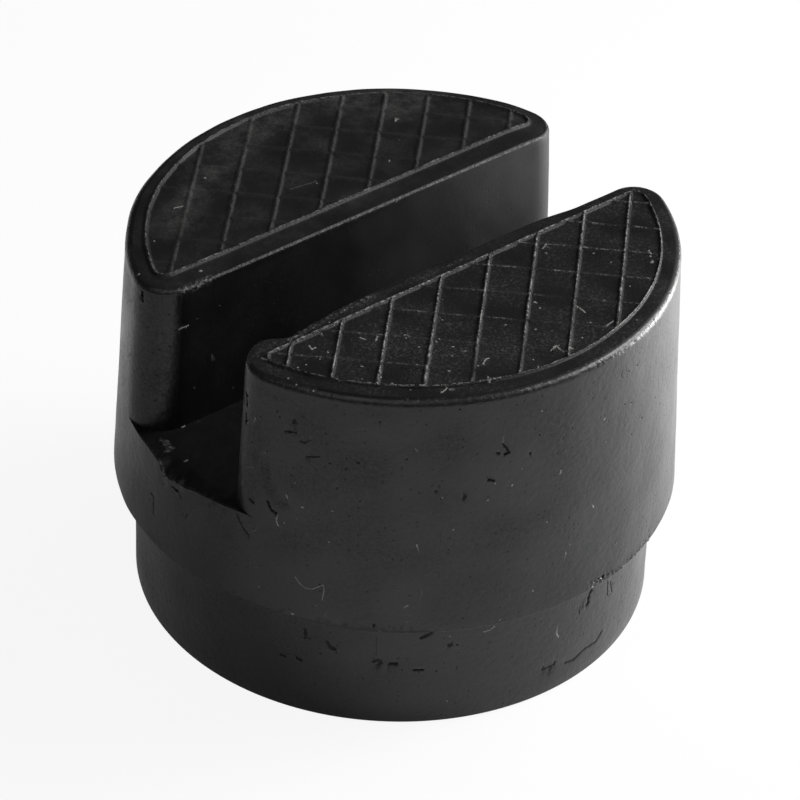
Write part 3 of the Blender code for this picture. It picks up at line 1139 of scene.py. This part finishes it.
# %% The torn mouth
TEAR_AZIMUTH = (158.0, 170.0, 174.5, 176.2, 177.5, 182.0, 187.0, 192.0, 198.0)
TEAR_DEPTH = (0.0, 0.05, 0.55, 2.0, 1.5, 1.1, 0.5, 0.25, 0.0)
TEAR_INWARD, TEAR_DOWN, TEAR_FADE = 1.9, 4.5, 1.2
TEAR_SWING, TEAR_LENGTH = 0.10, 0.8
AT_SIDE, LEVEL = 0.3, 0.05
azimuth = np.degrees(np.arctan2(at[:, 1], at[:, 0])) % 360
tear = np.interp(azimuth, TEAR_AZIMUTH, TEAR_DEPTH)
inward = block_r(FLOOR_Z) - np.hypot(at[:, 0], at[:, 1])
on_floor = np.clip(1 - inward / TEAR_INWARD, 0.0, 1.0) * (np.abs(at[:, 2] - FLOOR_Z) < LEVEL)
on_side = np.clip((at[:, 2] - FLOOR_Z + TEAR_DOWN) / TEAR_DOWN, 0.0, 1.0)
on_side = on_side * (inward < AT_SIDE) * (at[:, 2] < FLOOR_Z + LEVEL)
torn = tear * np.maximum(on_floor ** TEAR_FADE, on_side)
torn = torn * (1 + TEAR_SWING * ripple(at, TEAR_LENGTH, seed=32))
move[:, 2] -= torn
print("the tear moves", int((torn > SEEN).sum()), "points, by up to", round(float(torn.max()), 2), "mm")

# %% [markdown]
# Crests
#
# What stands out gets rubbed and catches the light: the ribs, the border and the rounded edges
# of the top. The crest share says how far a point stands out, and the materials make it paler,
# which is partly rubbed wear and partly painted highlight. On the tread it grows with the
# height, and on a rounded edge it is full halfway down the rounding.

# %% Crests
CREST_FULL, CREST_SHARE = 0.30, {FAR: 0.7, NEAR: 1.0}
ROUND_SIDE_WIDTH, ROUND_CREST = 1.2, 0.55
crest = np.zeros(count)
for side in (FAR, NEAR):
    here = np.nonzero(on_top & (at[:, 1] * side > 0))[0]
    crest[here] = np.clip(tread_height(at[here, :2], side) / CREST_FULL, 0, 1) * CREST_SHARE[side]
round_side = np.hypot(at[:, 0], at[:, 1]) > block_r(at[:, 2]) - ROUND_SIDE_WIDTH
turned = (TOP_Z - at[:, 2]) / np.where(round_side, ROUND_ARRIS, SLOT_ARRIS)
edge_crest = np.clip(2 - np.abs(4 * turned - 2), 0, 1) * np.where(round_side, ROUND_CREST, 1.0)
crest = np.maximum(crest, edge_crest)
print("crests on", int((crest > 0.5).sum()), "points")

# %% [markdown]
# The finished skin
#
# The moved points go back into the skin, in metres, and the shares go with it as attributes,
# which the materials read. The piece stands for the CAD node and rides on its body. Edges
# sharper than 50 degrees stay sharp, and the rest is shaded smooth.

# %% Make the pad
SHARP_DEGREES = 50
for vert, place in zip(skin.verts, at + move):
    vert.co = place * MM
mesh = bpy.data.meshes.new("moulded_pad")
skin.to_mesh(mesh)
skin.free()
shares = {"dust": dust, "smear": smear, "haze": haze, "dark": dark, "stain": stain, "crest": crest}
for name, values in shares.items():
    layer = mesh.attributes.new(name, "FLOAT", "POINT")
    layer.data.foreach_set("value", np.clip(values, 0, 1))
mesh.shade_smooth()
mesh.set_sharp_from_angle(angle=math.radians(SHARP_DEGREES))
pad = bpy.data.objects.new("moulded_pad", mesh)
bpy.context.scene.collection.objects.link(pad)
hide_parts("jack_pad")
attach(pad, "root")
print(len(mesh.polygons), "triangles in the finished skin")

# %% [markdown]
# Effects that the rubbers share
#
# The pad is one rubber, but its zones look different: the tread is dull and dusty, the outer
# walls have a slight sheen, and the slot has a blacker copy of the rubber, which paints the shade
# in the slot. Three materials share the same effects. Each effect is a node group with named
# inputs and outputs, and a small helper builds its nodes.

# %% Helpers for node groups


def new_group(name, inputs, outputs):
    """Starts a node group with number inputs and their first values, and number outputs."""
    group = bpy.data.node_groups.new(name, "ShaderNodeTree")
    for socket, default in inputs.items():
        made = group.interface.new_socket(socket, in_out="INPUT", socket_type="NodeSocketFloat")
        made.default_value = default
    for socket in outputs:
        group.interface.new_socket(socket, in_out="OUTPUT", socket_type="NodeSocketFloat")
    return group, group.nodes.new("NodeGroupInput"), group.nodes.new("NodeGroupOutput")


def add(tree, kind, links=(), **settings):
    """Adds a node. Settings are its own properties; links are pairs of input and source."""
    node = tree.nodes.new(kind)
    for key, value in settings.items():
        setattr(node, key, value)
    for socket, source in links:
        if isinstance(source, (int, float, tuple)):
            node.inputs[socket].default_value = source
        else:
            tree.links.new(source, node.inputs[socket])
    return node


def maths(tree, operation, a, b=0.0, c=0.0):
    """Output of a Math node."""
    node = add(tree, "ShaderNodeMath", ((0, a), (1, b), (2, c)), operation=operation)
    return node.outputs[0]


def ramp(tree, value, low, high, bottom=0.0, top=1.0):
    """Carries a value from the range low to high over to bottom to top, and no further."""
    node = add(tree, "ShaderNodeMapRange", (("Value", value), ("From Min", low), ("From Max", high),
                                            ("To Min", bottom), ("To Max", top)))
    return node.outputs[0]


def per_mm(tree, size):
    """A texture's scale for a size in millimetres, since object coordinates are in metres."""
    return maths(tree, "DIVIDE", 1 / MM, size)


print("helpers ready")

# %% [markdown]
# Grain
#
# Moulded rubber has a fine skin, like orange peel, from the mould's own surface, and a finer
# grain on top. The group puts out a height in metres for a Bump node, and a mottle value that
# varies the tone and the gloss. Its sizes are in millimetres, so that they can be read off.

# %% Grain group
BROAD_PER_M, FINE_PART, BROAD_PART = 130.0, 0.4, 0.6
grain, grain_in, grain_out = new_group(
    "moulded_grain",
    {"Peel mm": 0.9, "Grain mm": 0.25, "Peel Height": 0.00002, "Grain Height": 0.000006},
    ("Height", "Mottle"))
place = add(grain, "ShaderNodeTexCoord").outputs["Object"]
peel = add(grain, "ShaderNodeTexNoise", (
    ("Vector", place), ("Detail", 2.0), ("Scale", per_mm(grain, grain_in.outputs["Peel mm"]))))
fine = add(grain, "ShaderNodeTexNoise", (
    ("Vector", place), ("Detail", 3.0), ("Scale", per_mm(grain, grain_in.outputs["Grain mm"]))))
broad = add(grain, "ShaderNodeTexNoise", (
    ("Vector", place), ("Detail", 4.0), ("Scale", BROAD_PER_M)))
height = maths(grain, "MULTIPLY", peel.outputs["Fac"], grain_in.outputs["Peel Height"])
height = maths(grain, "MULTIPLY_ADD", fine.outputs["Fac"], grain_in.outputs["Grain Height"], height)
grain.links.new(height, grain_out.inputs["Height"])
mottle = maths(grain, "MULTIPLY", fine.outputs["Fac"], FINE_PART)
mottle = maths(grain, "MULTIPLY_ADD", broad.outputs["Fac"], BROAD_PART, mottle)
grain.links.new(ramp(grain, mottle, 0.35, 0.65), grain_out.inputs["Mottle"])
print("grain group has", len(grain.nodes), "nodes")

# %% [markdown]
# Scattered dots
#
# Specks of dust and pores in the skin are both small dots, scattered at random. A Voronoi
# texture puts one point in each cell, a dot is the small disc round it, and the cell's own
# random colour chooses which cells have one and how strong it is.

# %% Dots group
dots, dots_in, dots_out = new_group(
    "scattered_dots", {"Cell mm": 1.6, "Dot Size": 0.07, "Share": 0.2}, ("Mask",))
place = add(dots, "ShaderNodeTexCoord").outputs["Object"]
cells = add(dots, "ShaderNodeTexVoronoi", (
    ("Vector", place), ("Scale", per_mm(dots, dots_in.outputs["Cell mm"]))))
disc = ramp(dots, cells.outputs["Distance"], dots_in.outputs["Dot Size"],
            maths(dots, "MULTIPLY", dots_in.outputs["Dot Size"], 0.5))
parts = add(dots, "ShaderNodeSeparateColor", (("Color", cells.outputs["Color"]),))
chosen = maths(dots, "LESS_THAN", parts.outputs[0], dots_in.outputs["Share"])
mask = maths(dots, "MULTIPLY", maths(dots, "MULTIPLY", disc, chosen), parts.outputs[1])
dots.links.new(mask, dots_out.inputs["Mask"])
print("dots group has", len(dots.nodes), "nodes")

# %% [markdown]
# Dust, dirt and painted shade
#
# Pale dust lies thick in the marks that the skin's dust attribute gives. Where the smear
# attribute is, it lies thin, as fine grains. The haze attribute gives dust with hardly any
# grain, as on the far half. Everywhere else there is a trace of it. The second output is dirt
# and painted shade: the dark attribute as it is, which paints the shade in pits and cuts and the
# shadow just under the step's edge, and the stain attribute broken up by the same noise.

# %% Dust, dirt and shade group
CLOUD_PER_M, FLECKS, UNDER_FLECKS = 420.0, 3.0, 0.15
dust_and_shade_group, dust_in, dust_and_shade_out = new_group(
    "settled_dust_and_shade", {"Trace": 0.01, "Grains mm": 0.4}, ("Mask", "Dirt and Shade"))
place = add(dust_and_shade_group, "ShaderNodeTexCoord").outputs["Object"]
settled = add(dust_and_shade_group, "ShaderNodeAttribute", attribute_name="dust").outputs["Fac"]
smear = add(dust_and_shade_group, "ShaderNodeAttribute", attribute_name="smear").outputs["Fac"]
grains = add(dust_and_shade_group, "ShaderNodeTexNoise", (
    ("Vector", place), ("Detail", 4.0), ("Roughness", 0.75),
    ("Scale", per_mm(dust_and_shade_group, dust_in.outputs["Grains mm"]))))
cloud = add(dust_and_shade_group, "ShaderNodeTexNoise", (
    ("Vector", place), ("Scale", CLOUD_PER_M), ("Detail", 5.0), ("Roughness", 0.7)))
flecks = maths(dust_and_shade_group, "POWER", ramp(dust_and_shade_group, grains.outputs["Fac"], 0.45, 0.75), 2.0)
grainy = maths(dust_and_shade_group, "MULTIPLY_ADD", flecks, FLECKS, UNDER_FLECKS)
haze = add(dust_and_shade_group, "ShaderNodeAttribute", attribute_name="haze").outputs["Fac"]
blurred = ramp(dust_and_shade_group, cloud.outputs["Fac"], 0.4, 0.62, 0.2, 0.9)
hint_of_grain = ramp(dust_and_shade_group, grains.outputs["Fac"], 0.35, 0.65, 0.5, 1.3)
blurred = maths(dust_and_shade_group, "MULTIPLY", blurred, hint_of_grain)
thin = maths(dust_and_shade_group, "MULTIPLY", smear, grainy)
thin = maths(dust_and_shade_group, "MAXIMUM", thin, maths(dust_and_shade_group, "MULTIPLY", haze, blurred))
trace = maths(dust_and_shade_group, "MULTIPLY", ramp(dust_and_shade_group, cloud.outputs["Fac"], 0.4, 0.75), grainy)
trace = maths(dust_and_shade_group, "MULTIPLY", trace, dust_in.outputs["Trace"])
mask = maths(dust_and_shade_group, "MAXIMUM", maths(dust_and_shade_group, "MAXIMUM", settled, thin), trace)
dust_and_shade_group.links.new(mask, dust_and_shade_out.inputs["Mask"])
# The dark attribute is painted shade in pits and cuts and under the step's edge
pits = add(dust_and_shade_group, "ShaderNodeAttribute", attribute_name="dark").outputs["Fac"]
stained = add(dust_and_shade_group, "ShaderNodeAttribute", attribute_name="stain").outputs["Fac"]
stained = maths(dust_and_shade_group, "MULTIPLY", stained, ramp(dust_and_shade_group, grains.outputs["Fac"], 0.35, 0.6))
dust_and_shade_group.links.new(maths(dust_and_shade_group, "MAXIMUM", pits, stained), dust_and_shade_out.inputs["Dirt and Shade"])
print("dust group has", len(dust_and_shade_group.nodes), "nodes")

# %% [markdown]
# Rubbed edges and painted highlight
#
# Ribs and edges that stand out turn a little paler, in patches: partly rubbed wear, and partly
# painted highlight where they catch the light. The crest attribute says where an edge stands
# out, and a fine noise breaks it up. The same noise gives two more outputs: a height, so that a
# rubbed rib catches the light unevenly, and small bright spots on the crests, which are painted
# highlights in the dust's colour.

# %% Rubbed and lit edge group
rubbed_and_lit, rubbed_and_lit_in, rubbed_and_lit_out = new_group(
    "rubbed_and_lit_edge", {"Amount": 0.3, "Patch mm": 1.0, "Relief": 0.0}, ("Mask", "Glints", "Height"))
place = add(rubbed_and_lit, "ShaderNodeTexCoord").outputs["Object"]
patches = add(rubbed_and_lit, "ShaderNodeTexNoise", (
    ("Vector", place), ("Detail", 4.0), ("Roughness", 0.7),
    ("Scale", per_mm(rubbed_and_lit, rubbed_and_lit_in.outputs["Patch mm"]))))
crest_share = add(rubbed_and_lit, "ShaderNodeAttribute", attribute_name="crest").outputs["Fac"]
# Paler crests: partly rubbed wear, partly painted highlight
edge = ramp(rubbed_and_lit, crest_share, 0.5, 0.95)
mask = maths(rubbed_and_lit, "MULTIPLY", edge, ramp(rubbed_and_lit, patches.outputs["Fac"], 0.35, 0.65, 0.4))
mask = maths(rubbed_and_lit, "MULTIPLY", mask, rubbed_and_lit_in.outputs["Amount"])
rubbed_and_lit.links.new(mask, rubbed_and_lit_out.inputs["Mask"])
# Small bright spots on the crests: painted highlights, given the dust's colour
glints = maths(rubbed_and_lit, "MULTIPLY", edge, ramp(rubbed_and_lit, patches.outputs["Fac"], 0.47, 0.58))
rubbed_and_lit.links.new(glints, rubbed_and_lit_out.inputs["Glints"])
relief = maths(rubbed_and_lit, "SUBTRACT", patches.outputs["Fac"], 0.5)
relief = maths(rubbed_and_lit, "MULTIPLY", relief, ramp(rubbed_and_lit, crest_share, 0.2, 0.7))
relief = maths(rubbed_and_lit, "MULTIPLY", relief, rubbed_and_lit_in.outputs["Relief"])
rubbed_and_lit.links.new(relief, rubbed_and_lit_out.inputs["Height"])
print("rubbed edge group has", len(rubbed_and_lit.nodes), "nodes")

# %% [markdown]
# How a rubber is made
#
# Each material mixes the black rubber with paler crests, partly rubbed wear and partly painted
# highlight, then dirt with painted shade, then dust with painted glints, one over the other, and
# lets the mottle vary its roughness. Most of what we see of a black surface is its sheen, so a
# dark colour alone can't make a pit look dark. Metallic is raised there, which paints the shade
# in pits, cuts and pores: black metal gives back nothing, while black plastic or rubber always
# gives back a few per cent.

# %% Values that the rubbers share
# Pale dust, and the colour of the painted bright spots on the crests
PALE_DUST_AND_GLINT = (0.25, 0.25, 0.245, 1)
# Paler tone of the crests, partly rubbed wear and partly painted highlight
RUBBED_AND_LIT = (0.035, 0.035, 0.034, 1)
# Near-black for dirt and stains, and for the painted shade in pits, cuts and under the step
DIRT_AND_SHADE_BLACK = (0.0015, 0.0015, 0.0015, 1)
DEEPER = 0.72
SHEEN, SHEEN_ROUGHNESS = 0.06, 0.3
SMOOTHER, ROUGHER = 0.04, 0.05
DUST_ROUGHER, PORE_ROUGHER, DIRT_AND_SHADE_ROUGHER = 0.35, 0.25, 0.3
PORE_LOSS, DIRT_AND_SHADE_LOSS = 0.3, 0.6
PORE_DEPTH = 0.02 * MM
DOT_SOCKETS = ("Cell mm", "Dot Size", "Share")
print("a dirty spot loses", round(DIRT_AND_SHADE_LOSS * 100), "per cent of its sheen")

# %% Rubber


def rubber(name, colour, roughness, gloss, grain_values, dust_values, rub_and_light_values, specks, pores, glints):
    """One rubber material. specks and pores give a dot's cell in mm, its size and its share."""
    material = bpy.data.materials.new(name)
    material.use_nodes = True
    tree = material.node_tree
    shader = tree.nodes["Principled BSDF"]
    shader.inputs["Specular IOR Level"].default_value = gloss
    shader.inputs["Sheen Weight"].default_value = SHEEN
    shader.inputs["Sheen Roughness"].default_value = SHEEN_ROUGHNESS
    effects = []
    for group, values in (
            (grain, grain_values), (dust_and_shade_group, dust_values), (rubbed_and_lit, rub_and_light_values),
            (dots, dict(zip(DOT_SOCKETS, specks))), (dots, dict(zip(DOT_SOCKETS, pores)))):
        effects.append(add(tree, "ShaderNodeGroup", values.items(), node_tree=group))
    skin_grain, dusting_and_shade, rubbing_and_light, speckled, porous = effects
    dirt_and_shade, pore = dusting_and_shade.outputs["Dirt and Shade"], porous.outputs["Mask"]
    # Dust, with the painted bright spots on the crests
    dust_and_glints = maths(tree, "MAXIMUM", dusting_and_shade.outputs["Mask"], speckled.outputs["Mask"])
    dust_and_glints = maths(tree, "MAXIMUM", dust_and_glints, maths(tree, "MULTIPLY", rubbing_and_light.outputs["Glints"], glints))
    deeper = tuple(DEEPER * c for c in colour[:3]) + (1,)
    # Over the rubber: paler crests, partly painted highlight; near-black dirt with painted shade; pale
    # dust, which also paints glints
    stages = ((skin_grain.outputs["Mottle"], deeper), (rubbing_and_light.outputs["Mask"], RUBBED_AND_LIT),
              (dirt_and_shade, DIRT_AND_SHADE_BLACK), (dust_and_glints, PALE_DUST_AND_GLINT))
    tone = colour
    for mask, over in stages:
        mix = add(tree, "ShaderNodeMix", (("Factor", mask), (6, tone), (7, over)), data_type="RGBA")
        tone = mix.outputs[2]
    tree.links.new(tone, shader.inputs["Base Color"])
    ends = roughness - SMOOTHER, roughness + ROUGHER
    rough = ramp(tree, skin_grain.outputs["Mottle"], 0.0, 1.0, *ends)
    for mask, rougher in ((dust_and_glints, DUST_ROUGHER), (pore, PORE_ROUGHER), (dirt_and_shade, DIRT_AND_SHADE_ROUGHER)):
        rough = maths(tree, "MULTIPLY_ADD", mask, rougher, rough)
    tree.links.new(maths(tree, "MINIMUM", rough, 1.0), shader.inputs["Roughness"])
    # Metallic takes the sheen away: painted shade in pores, pits and cuts, and duller stains
    lost = maths(tree, "MULTIPLY_ADD", pore, PORE_LOSS, maths(tree, "MULTIPLY", dirt_and_shade, DIRT_AND_SHADE_LOSS))
    tree.links.new(maths(tree, "MINIMUM", lost, 1.0), shader.inputs["Metallic"])
    height = maths(tree, "ADD", skin_grain.outputs["Height"], rubbing_and_light.outputs["Height"])
    height = maths(tree, "MULTIPLY_ADD", pore, -PORE_DEPTH, height)
    bump_node = add(tree, "ShaderNodeBump", (("Height", height), ("Distance", 1.0)))
    tree.links.new(bump_node.outputs["Normal"], shader.inputs["Normal"])
    return material


print("a rubber has the groups", [group.name for group in (grain, dust_and_shade_group, rubbed_and_lit, dots)])

# %% [markdown]
# The three rubbers
#
# Only the values differ from rubber to rubber. The tread's skin is worn, so it is dull and
# dusty, with painted bright spots along its ribs. The walls keep the mould's orange peel and
# its sheen. The slot's rubber is the blackest, which paints the shade in the slot. Lengths
# named mm are in millimetres, and heights are in metres.

# %% Rubber materials
rubbers = (
    rubber("tread_rubber", (0.0050, 0.0053, 0.0051, 1), roughness=0.46, gloss=0.25,
           grain_values={"Peel mm": 1.1, "Grain mm": 0.3,
                         "Peel Height": 0.000012, "Grain Height": 0.00003},
           dust_values={"Trace": 0.03, "Grains mm": 0.3},
           rub_and_light_values={"Amount": 0.3, "Patch mm": 0.5, "Relief": 0.00022},
           specks=(1.2, 0.06, 0.3), pores=(0.8, 0.2, 0.25), glints=1.0),
    rubber("wall_rubber", (0.0060, 0.0065, 0.0063, 1), roughness=0.30, gloss=0.5,
           grain_values={"Peel mm": 0.8, "Grain mm": 0.25,
                         "Peel Height": 0.00005, "Grain Height": 0.000014},
           dust_values={"Trace": 0.02, "Grains mm": 0.35},
           rub_and_light_values={"Amount": 0.6, "Patch mm": 0.4, "Relief": 0.00008},
           specks=(4.0, 0.03, 0.12), pores=(0.7, 0.28, 0.45), glints=0.08),
    # Blacker than the walls: painted shade in the slot
    rubber("slot_rubber_with_painted_shade", (0.0018, 0.0020, 0.0019, 1), roughness=0.44, gloss=0.22,
           grain_values={"Peel mm": 1.4, "Grain mm": 0.3,
                         "Peel Height": 0.000014, "Grain Height": 0.00001},
           dust_values={"Trace": 0.02, "Grains mm": 0.35},
           rub_and_light_values={"Amount": 0.7, "Patch mm": 0.4, "Relief": 0.00012},
           specks=(3.0, 0.04, 0.12), pores=(0.9, 0.16, 0.2), glints=0.3),
)
for material in rubbers:
    pad.data.materials.append(material)
print("materials:", [material.name for material in rubbers])

# %% [markdown]
# A rubber for each triangle
#
# The flat top takes the tread's rubber. The round side, the rounded ends at the left mouth
# and all that lies well below the slot's floor take the walls' rubber, and the rest is the
# slot's. Triangles are told apart by their place before the marks moved them. The limits
# follow rows of the skin, because a limit between two rows would give a sawtooth edge.

# %% Choose a rubber for each triangle
TREAD_ZONE, WALL_ZONE, SLOT_ZONE = 0, 1, 2
ARRIS_LIMIT, WALL_LIMIT = 0.45, 0.35
PAST_WALL, SLOT_BELOW = 0.2, 2.5


def past_wall(points):
    """How far each point lies past the end of the slot's straight wall, towards a mouth."""
    gap = np.empty(len(points))
    for (side, end), corner in CORNER_R.items():
        here = (points[:, 1] * side >= 0) & (points[:, 0] * end >= 0)
        ease = EASE[side] if end == RIGHT else 0.0
        centre_y = WALL_Y[side] + ease + corner
        reach = np.sqrt((block_r(points[here, 2]) - corner) ** 2 - centre_y ** 2)
        gap[here] = points[here, 0] * end - reach
    return gap


corners = np.array([tuple(face.vertices) for face in mesh.polygons])
centre = at[corners].mean(axis=1)
limit = np.where(centre[:, 2] > TOP_Z - ROUND_ARRIS, ARRIS_LIMIT, WALL_LIMIT)
outside = np.hypot(centre[:, 0], centre[:, 1]) > block_r(centre[:, 2]) - limit
rounded_end = (past_wall(at)[corners].min(axis=1) > PAST_WALL) & (centre[:, 2] > FLOOR_Z + AT_FLOOR)
rounded_end &= centre[:, 0] < 0
below = centre[:, 2] < FLOOR_Z - SLOT_BELOW
# The rest takes the slot's blacker rubber, painted shade, also at the right mouth's corners
zone = np.where(outside | rounded_end | below, WALL_ZONE, SLOT_ZONE)
zone = np.where(at[corners].min(axis=1)[:, 2] > ON_TOP, TREAD_ZONE, zone)
mesh.polygons.foreach_set("material_index", zone.astype(np.int32))
mesh.update()
print("triangles of tread, wall and slot rubber:", np.bincount(zone).tolist())

# %% [markdown]
# The floor
#
# A plain pale floor carries the pad and takes its shadow. The camera sees it as nearly pure
# light, so the background is white without strong lamps. In the pad's own reflections a dim
# glow is added to it, stronger on the right, where the wall of the real pad fades into the light:
# a painted reflection.

# %% The floor's disc
FLOOR_RADIUS, FLOOR_SIDES = 1.5, 96
floor_mesh = bpy.data.meshes.new("studio_floor")
bm = bmesh.new()
bmesh.ops.create_circle(bm, cap_ends=True, segments=FLOOR_SIDES, radius=FLOOR_RADIUS)
bm.to_mesh(floor_mesh)
bm.free()
studio_floor = bpy.data.objects.new("studio_floor", floor_mesh)
bpy.context.scene.collection.objects.link(studio_floor)
print("floor", 2 * FLOOR_RADIUS, "m across")

# %% The floor's material
FLOOR_COLOUR = (0.85, 0.85, 0.85, 1)
FLOOR_IN_VIEW, FLOOR_GLOW_IN_REFLECTIONS, FLOOR_GLOW_AT_RIGHT = 0.9, 0.082, 0.16
RIGHT_FROM, RIGHT_TO = 0.02, 0.06
pale = bpy.data.materials.new("pale_floor")
pale.use_nodes = True
tree = pale.node_tree
tree.nodes.clear()
output = add(tree, "ShaderNodeOutputMaterial")
plain = add(tree, "ShaderNodeBsdfDiffuse", (("Color", FLOOR_COLOUR),))
white = add(tree, "ShaderNodeEmission", (("Strength", 1.0),))
path = add(tree, "ShaderNodeLightPath")
here = add(tree, "ShaderNodeTexCoord").outputs["Object"]
spot = add(tree, "ShaderNodeSeparateXYZ", ((0, here),)).outputs
across = maths(tree, "MULTIPLY", spot[0], CAMERA_RIGHT.x)
across = maths(tree, "MULTIPLY_ADD", spot[1], CAMERA_RIGHT.y, across)
# Painted reflection: reflection rays see the floor glow a little, more towards the right
reflection_glow = ramp(tree, across, RIGHT_FROM, RIGHT_TO, FLOOR_GLOW_IN_REFLECTIONS, FLOOR_GLOW_AT_RIGHT)
reflected = maths(tree, "MAXIMUM", path.outputs["Is Glossy Ray"], path.outputs["Is Transmission Ray"])
reflected = maths(tree, "MULTIPLY", reflected, reflection_glow)
viewed = maths(tree, "MULTIPLY", path.outputs["Is Camera Ray"], FLOOR_IN_VIEW)
lit = maths(tree, "MAXIMUM", viewed, reflected)
mix = add(tree, "ShaderNodeMixShader", (("Fac", lit), (1, plain.outputs[0]), (2, white.outputs[0])))
tree.links.new(mix.outputs[0], output.inputs["Surface"])
floor_mesh.materials.append(pale)
print("floor material has", len(tree.nodes), "nodes")

# %% [markdown]
# The lights
#
# The photograph was lit softly from the right, with the light low enough to run along the near
# edge's rounding. So a strong soft key stands at the right, a small low one gives the thin
# bright line on that rounding, and weak fills keep the left, the front and the top from
# going black. A faint white world fills the rest.

# %% Lights
AIM_Z = 0.02
WORLD_STRENGTH = 0.07


def lamp(name, azimuth, away, height, size, power):
    """A square soft light, aimed at the pad. Its place is given in metres from the pad's axis."""
    data = bpy.data.lights.new(name, "AREA")
    data.shape, data.size, data.energy = "SQUARE", size, power
    thing = bpy.data.objects.new(name, data)
    a = math.radians(azimuth)
    thing.location = (away * math.cos(a), away * math.sin(a), height)
    aim = Vector(thing.location) - Vector((0, 0, AIM_Z))
    thing.rotation_euler = aim.to_track_quat("Z", "Y").to_euler()
    bpy.context.scene.collection.objects.link(thing)


lamp("near_key", azimuth=-20, away=0.16, height=0.035, size=0.07, power=0.32)
lamp("right_key", azimuth=-30, away=0.63, height=0.51, size=0.36, power=5.1)
lamp("side_fill", azimuth=0, away=0.63, height=0.51, size=0.36, power=1.5)
lamp("front_fill", azimuth=-90, away=0.5, height=0.6, size=0.4, power=0.12)
lamp("left_fill", azimuth=210, away=0.5, height=0.66, size=0.4, power=0.7)
lamp("top_fill", azimuth=0, away=0.01, height=0.8, size=0.4, power=0.2)
world = bpy.data.worlds.new("studio")
world.use_nodes = True
background = world.node_tree.nodes["Background"]
background.inputs["Color"].default_value = (1, 1, 1, 1)
background.inputs["Strength"].default_value = WORLD_STRENGTH
bpy.context.scene.world = world
print("lamps:", len(bpy.data.lights))

# %% [markdown]
# The camera
#
# The camera stands at the place that was used for the marks, 37 degrees above the floor, with
# the long lens that shows the pad with little perspective. It is rolled by about 2 degrees,
# as the photographer held it.

# %% Camera
NEAR_CLIP, FAR_CLIP = 0.01, 10.0
camera_data = bpy.data.cameras.new("camera")
camera_data.lens, camera_data.sensor_width = LENS, SENSOR
camera_data.clip_start, camera_data.clip_end = NEAR_CLIP, FAR_CLIP
camera = bpy.data.objects.new("camera", camera_data)
turn = Matrix((CAMERA_RIGHT, CAMERA_UP, CAMERA_BACK)).transposed().to_4x4()
camera.matrix_world = Matrix.Translation(EYE * MM) @ turn
bpy.context.scene.collection.objects.link(camera)
bpy.context.scene.camera = camera
bpy.context.scene.view_settings.view_transform = "Standard"
print("camera", round(EYE.length), "mm from the pad's base")
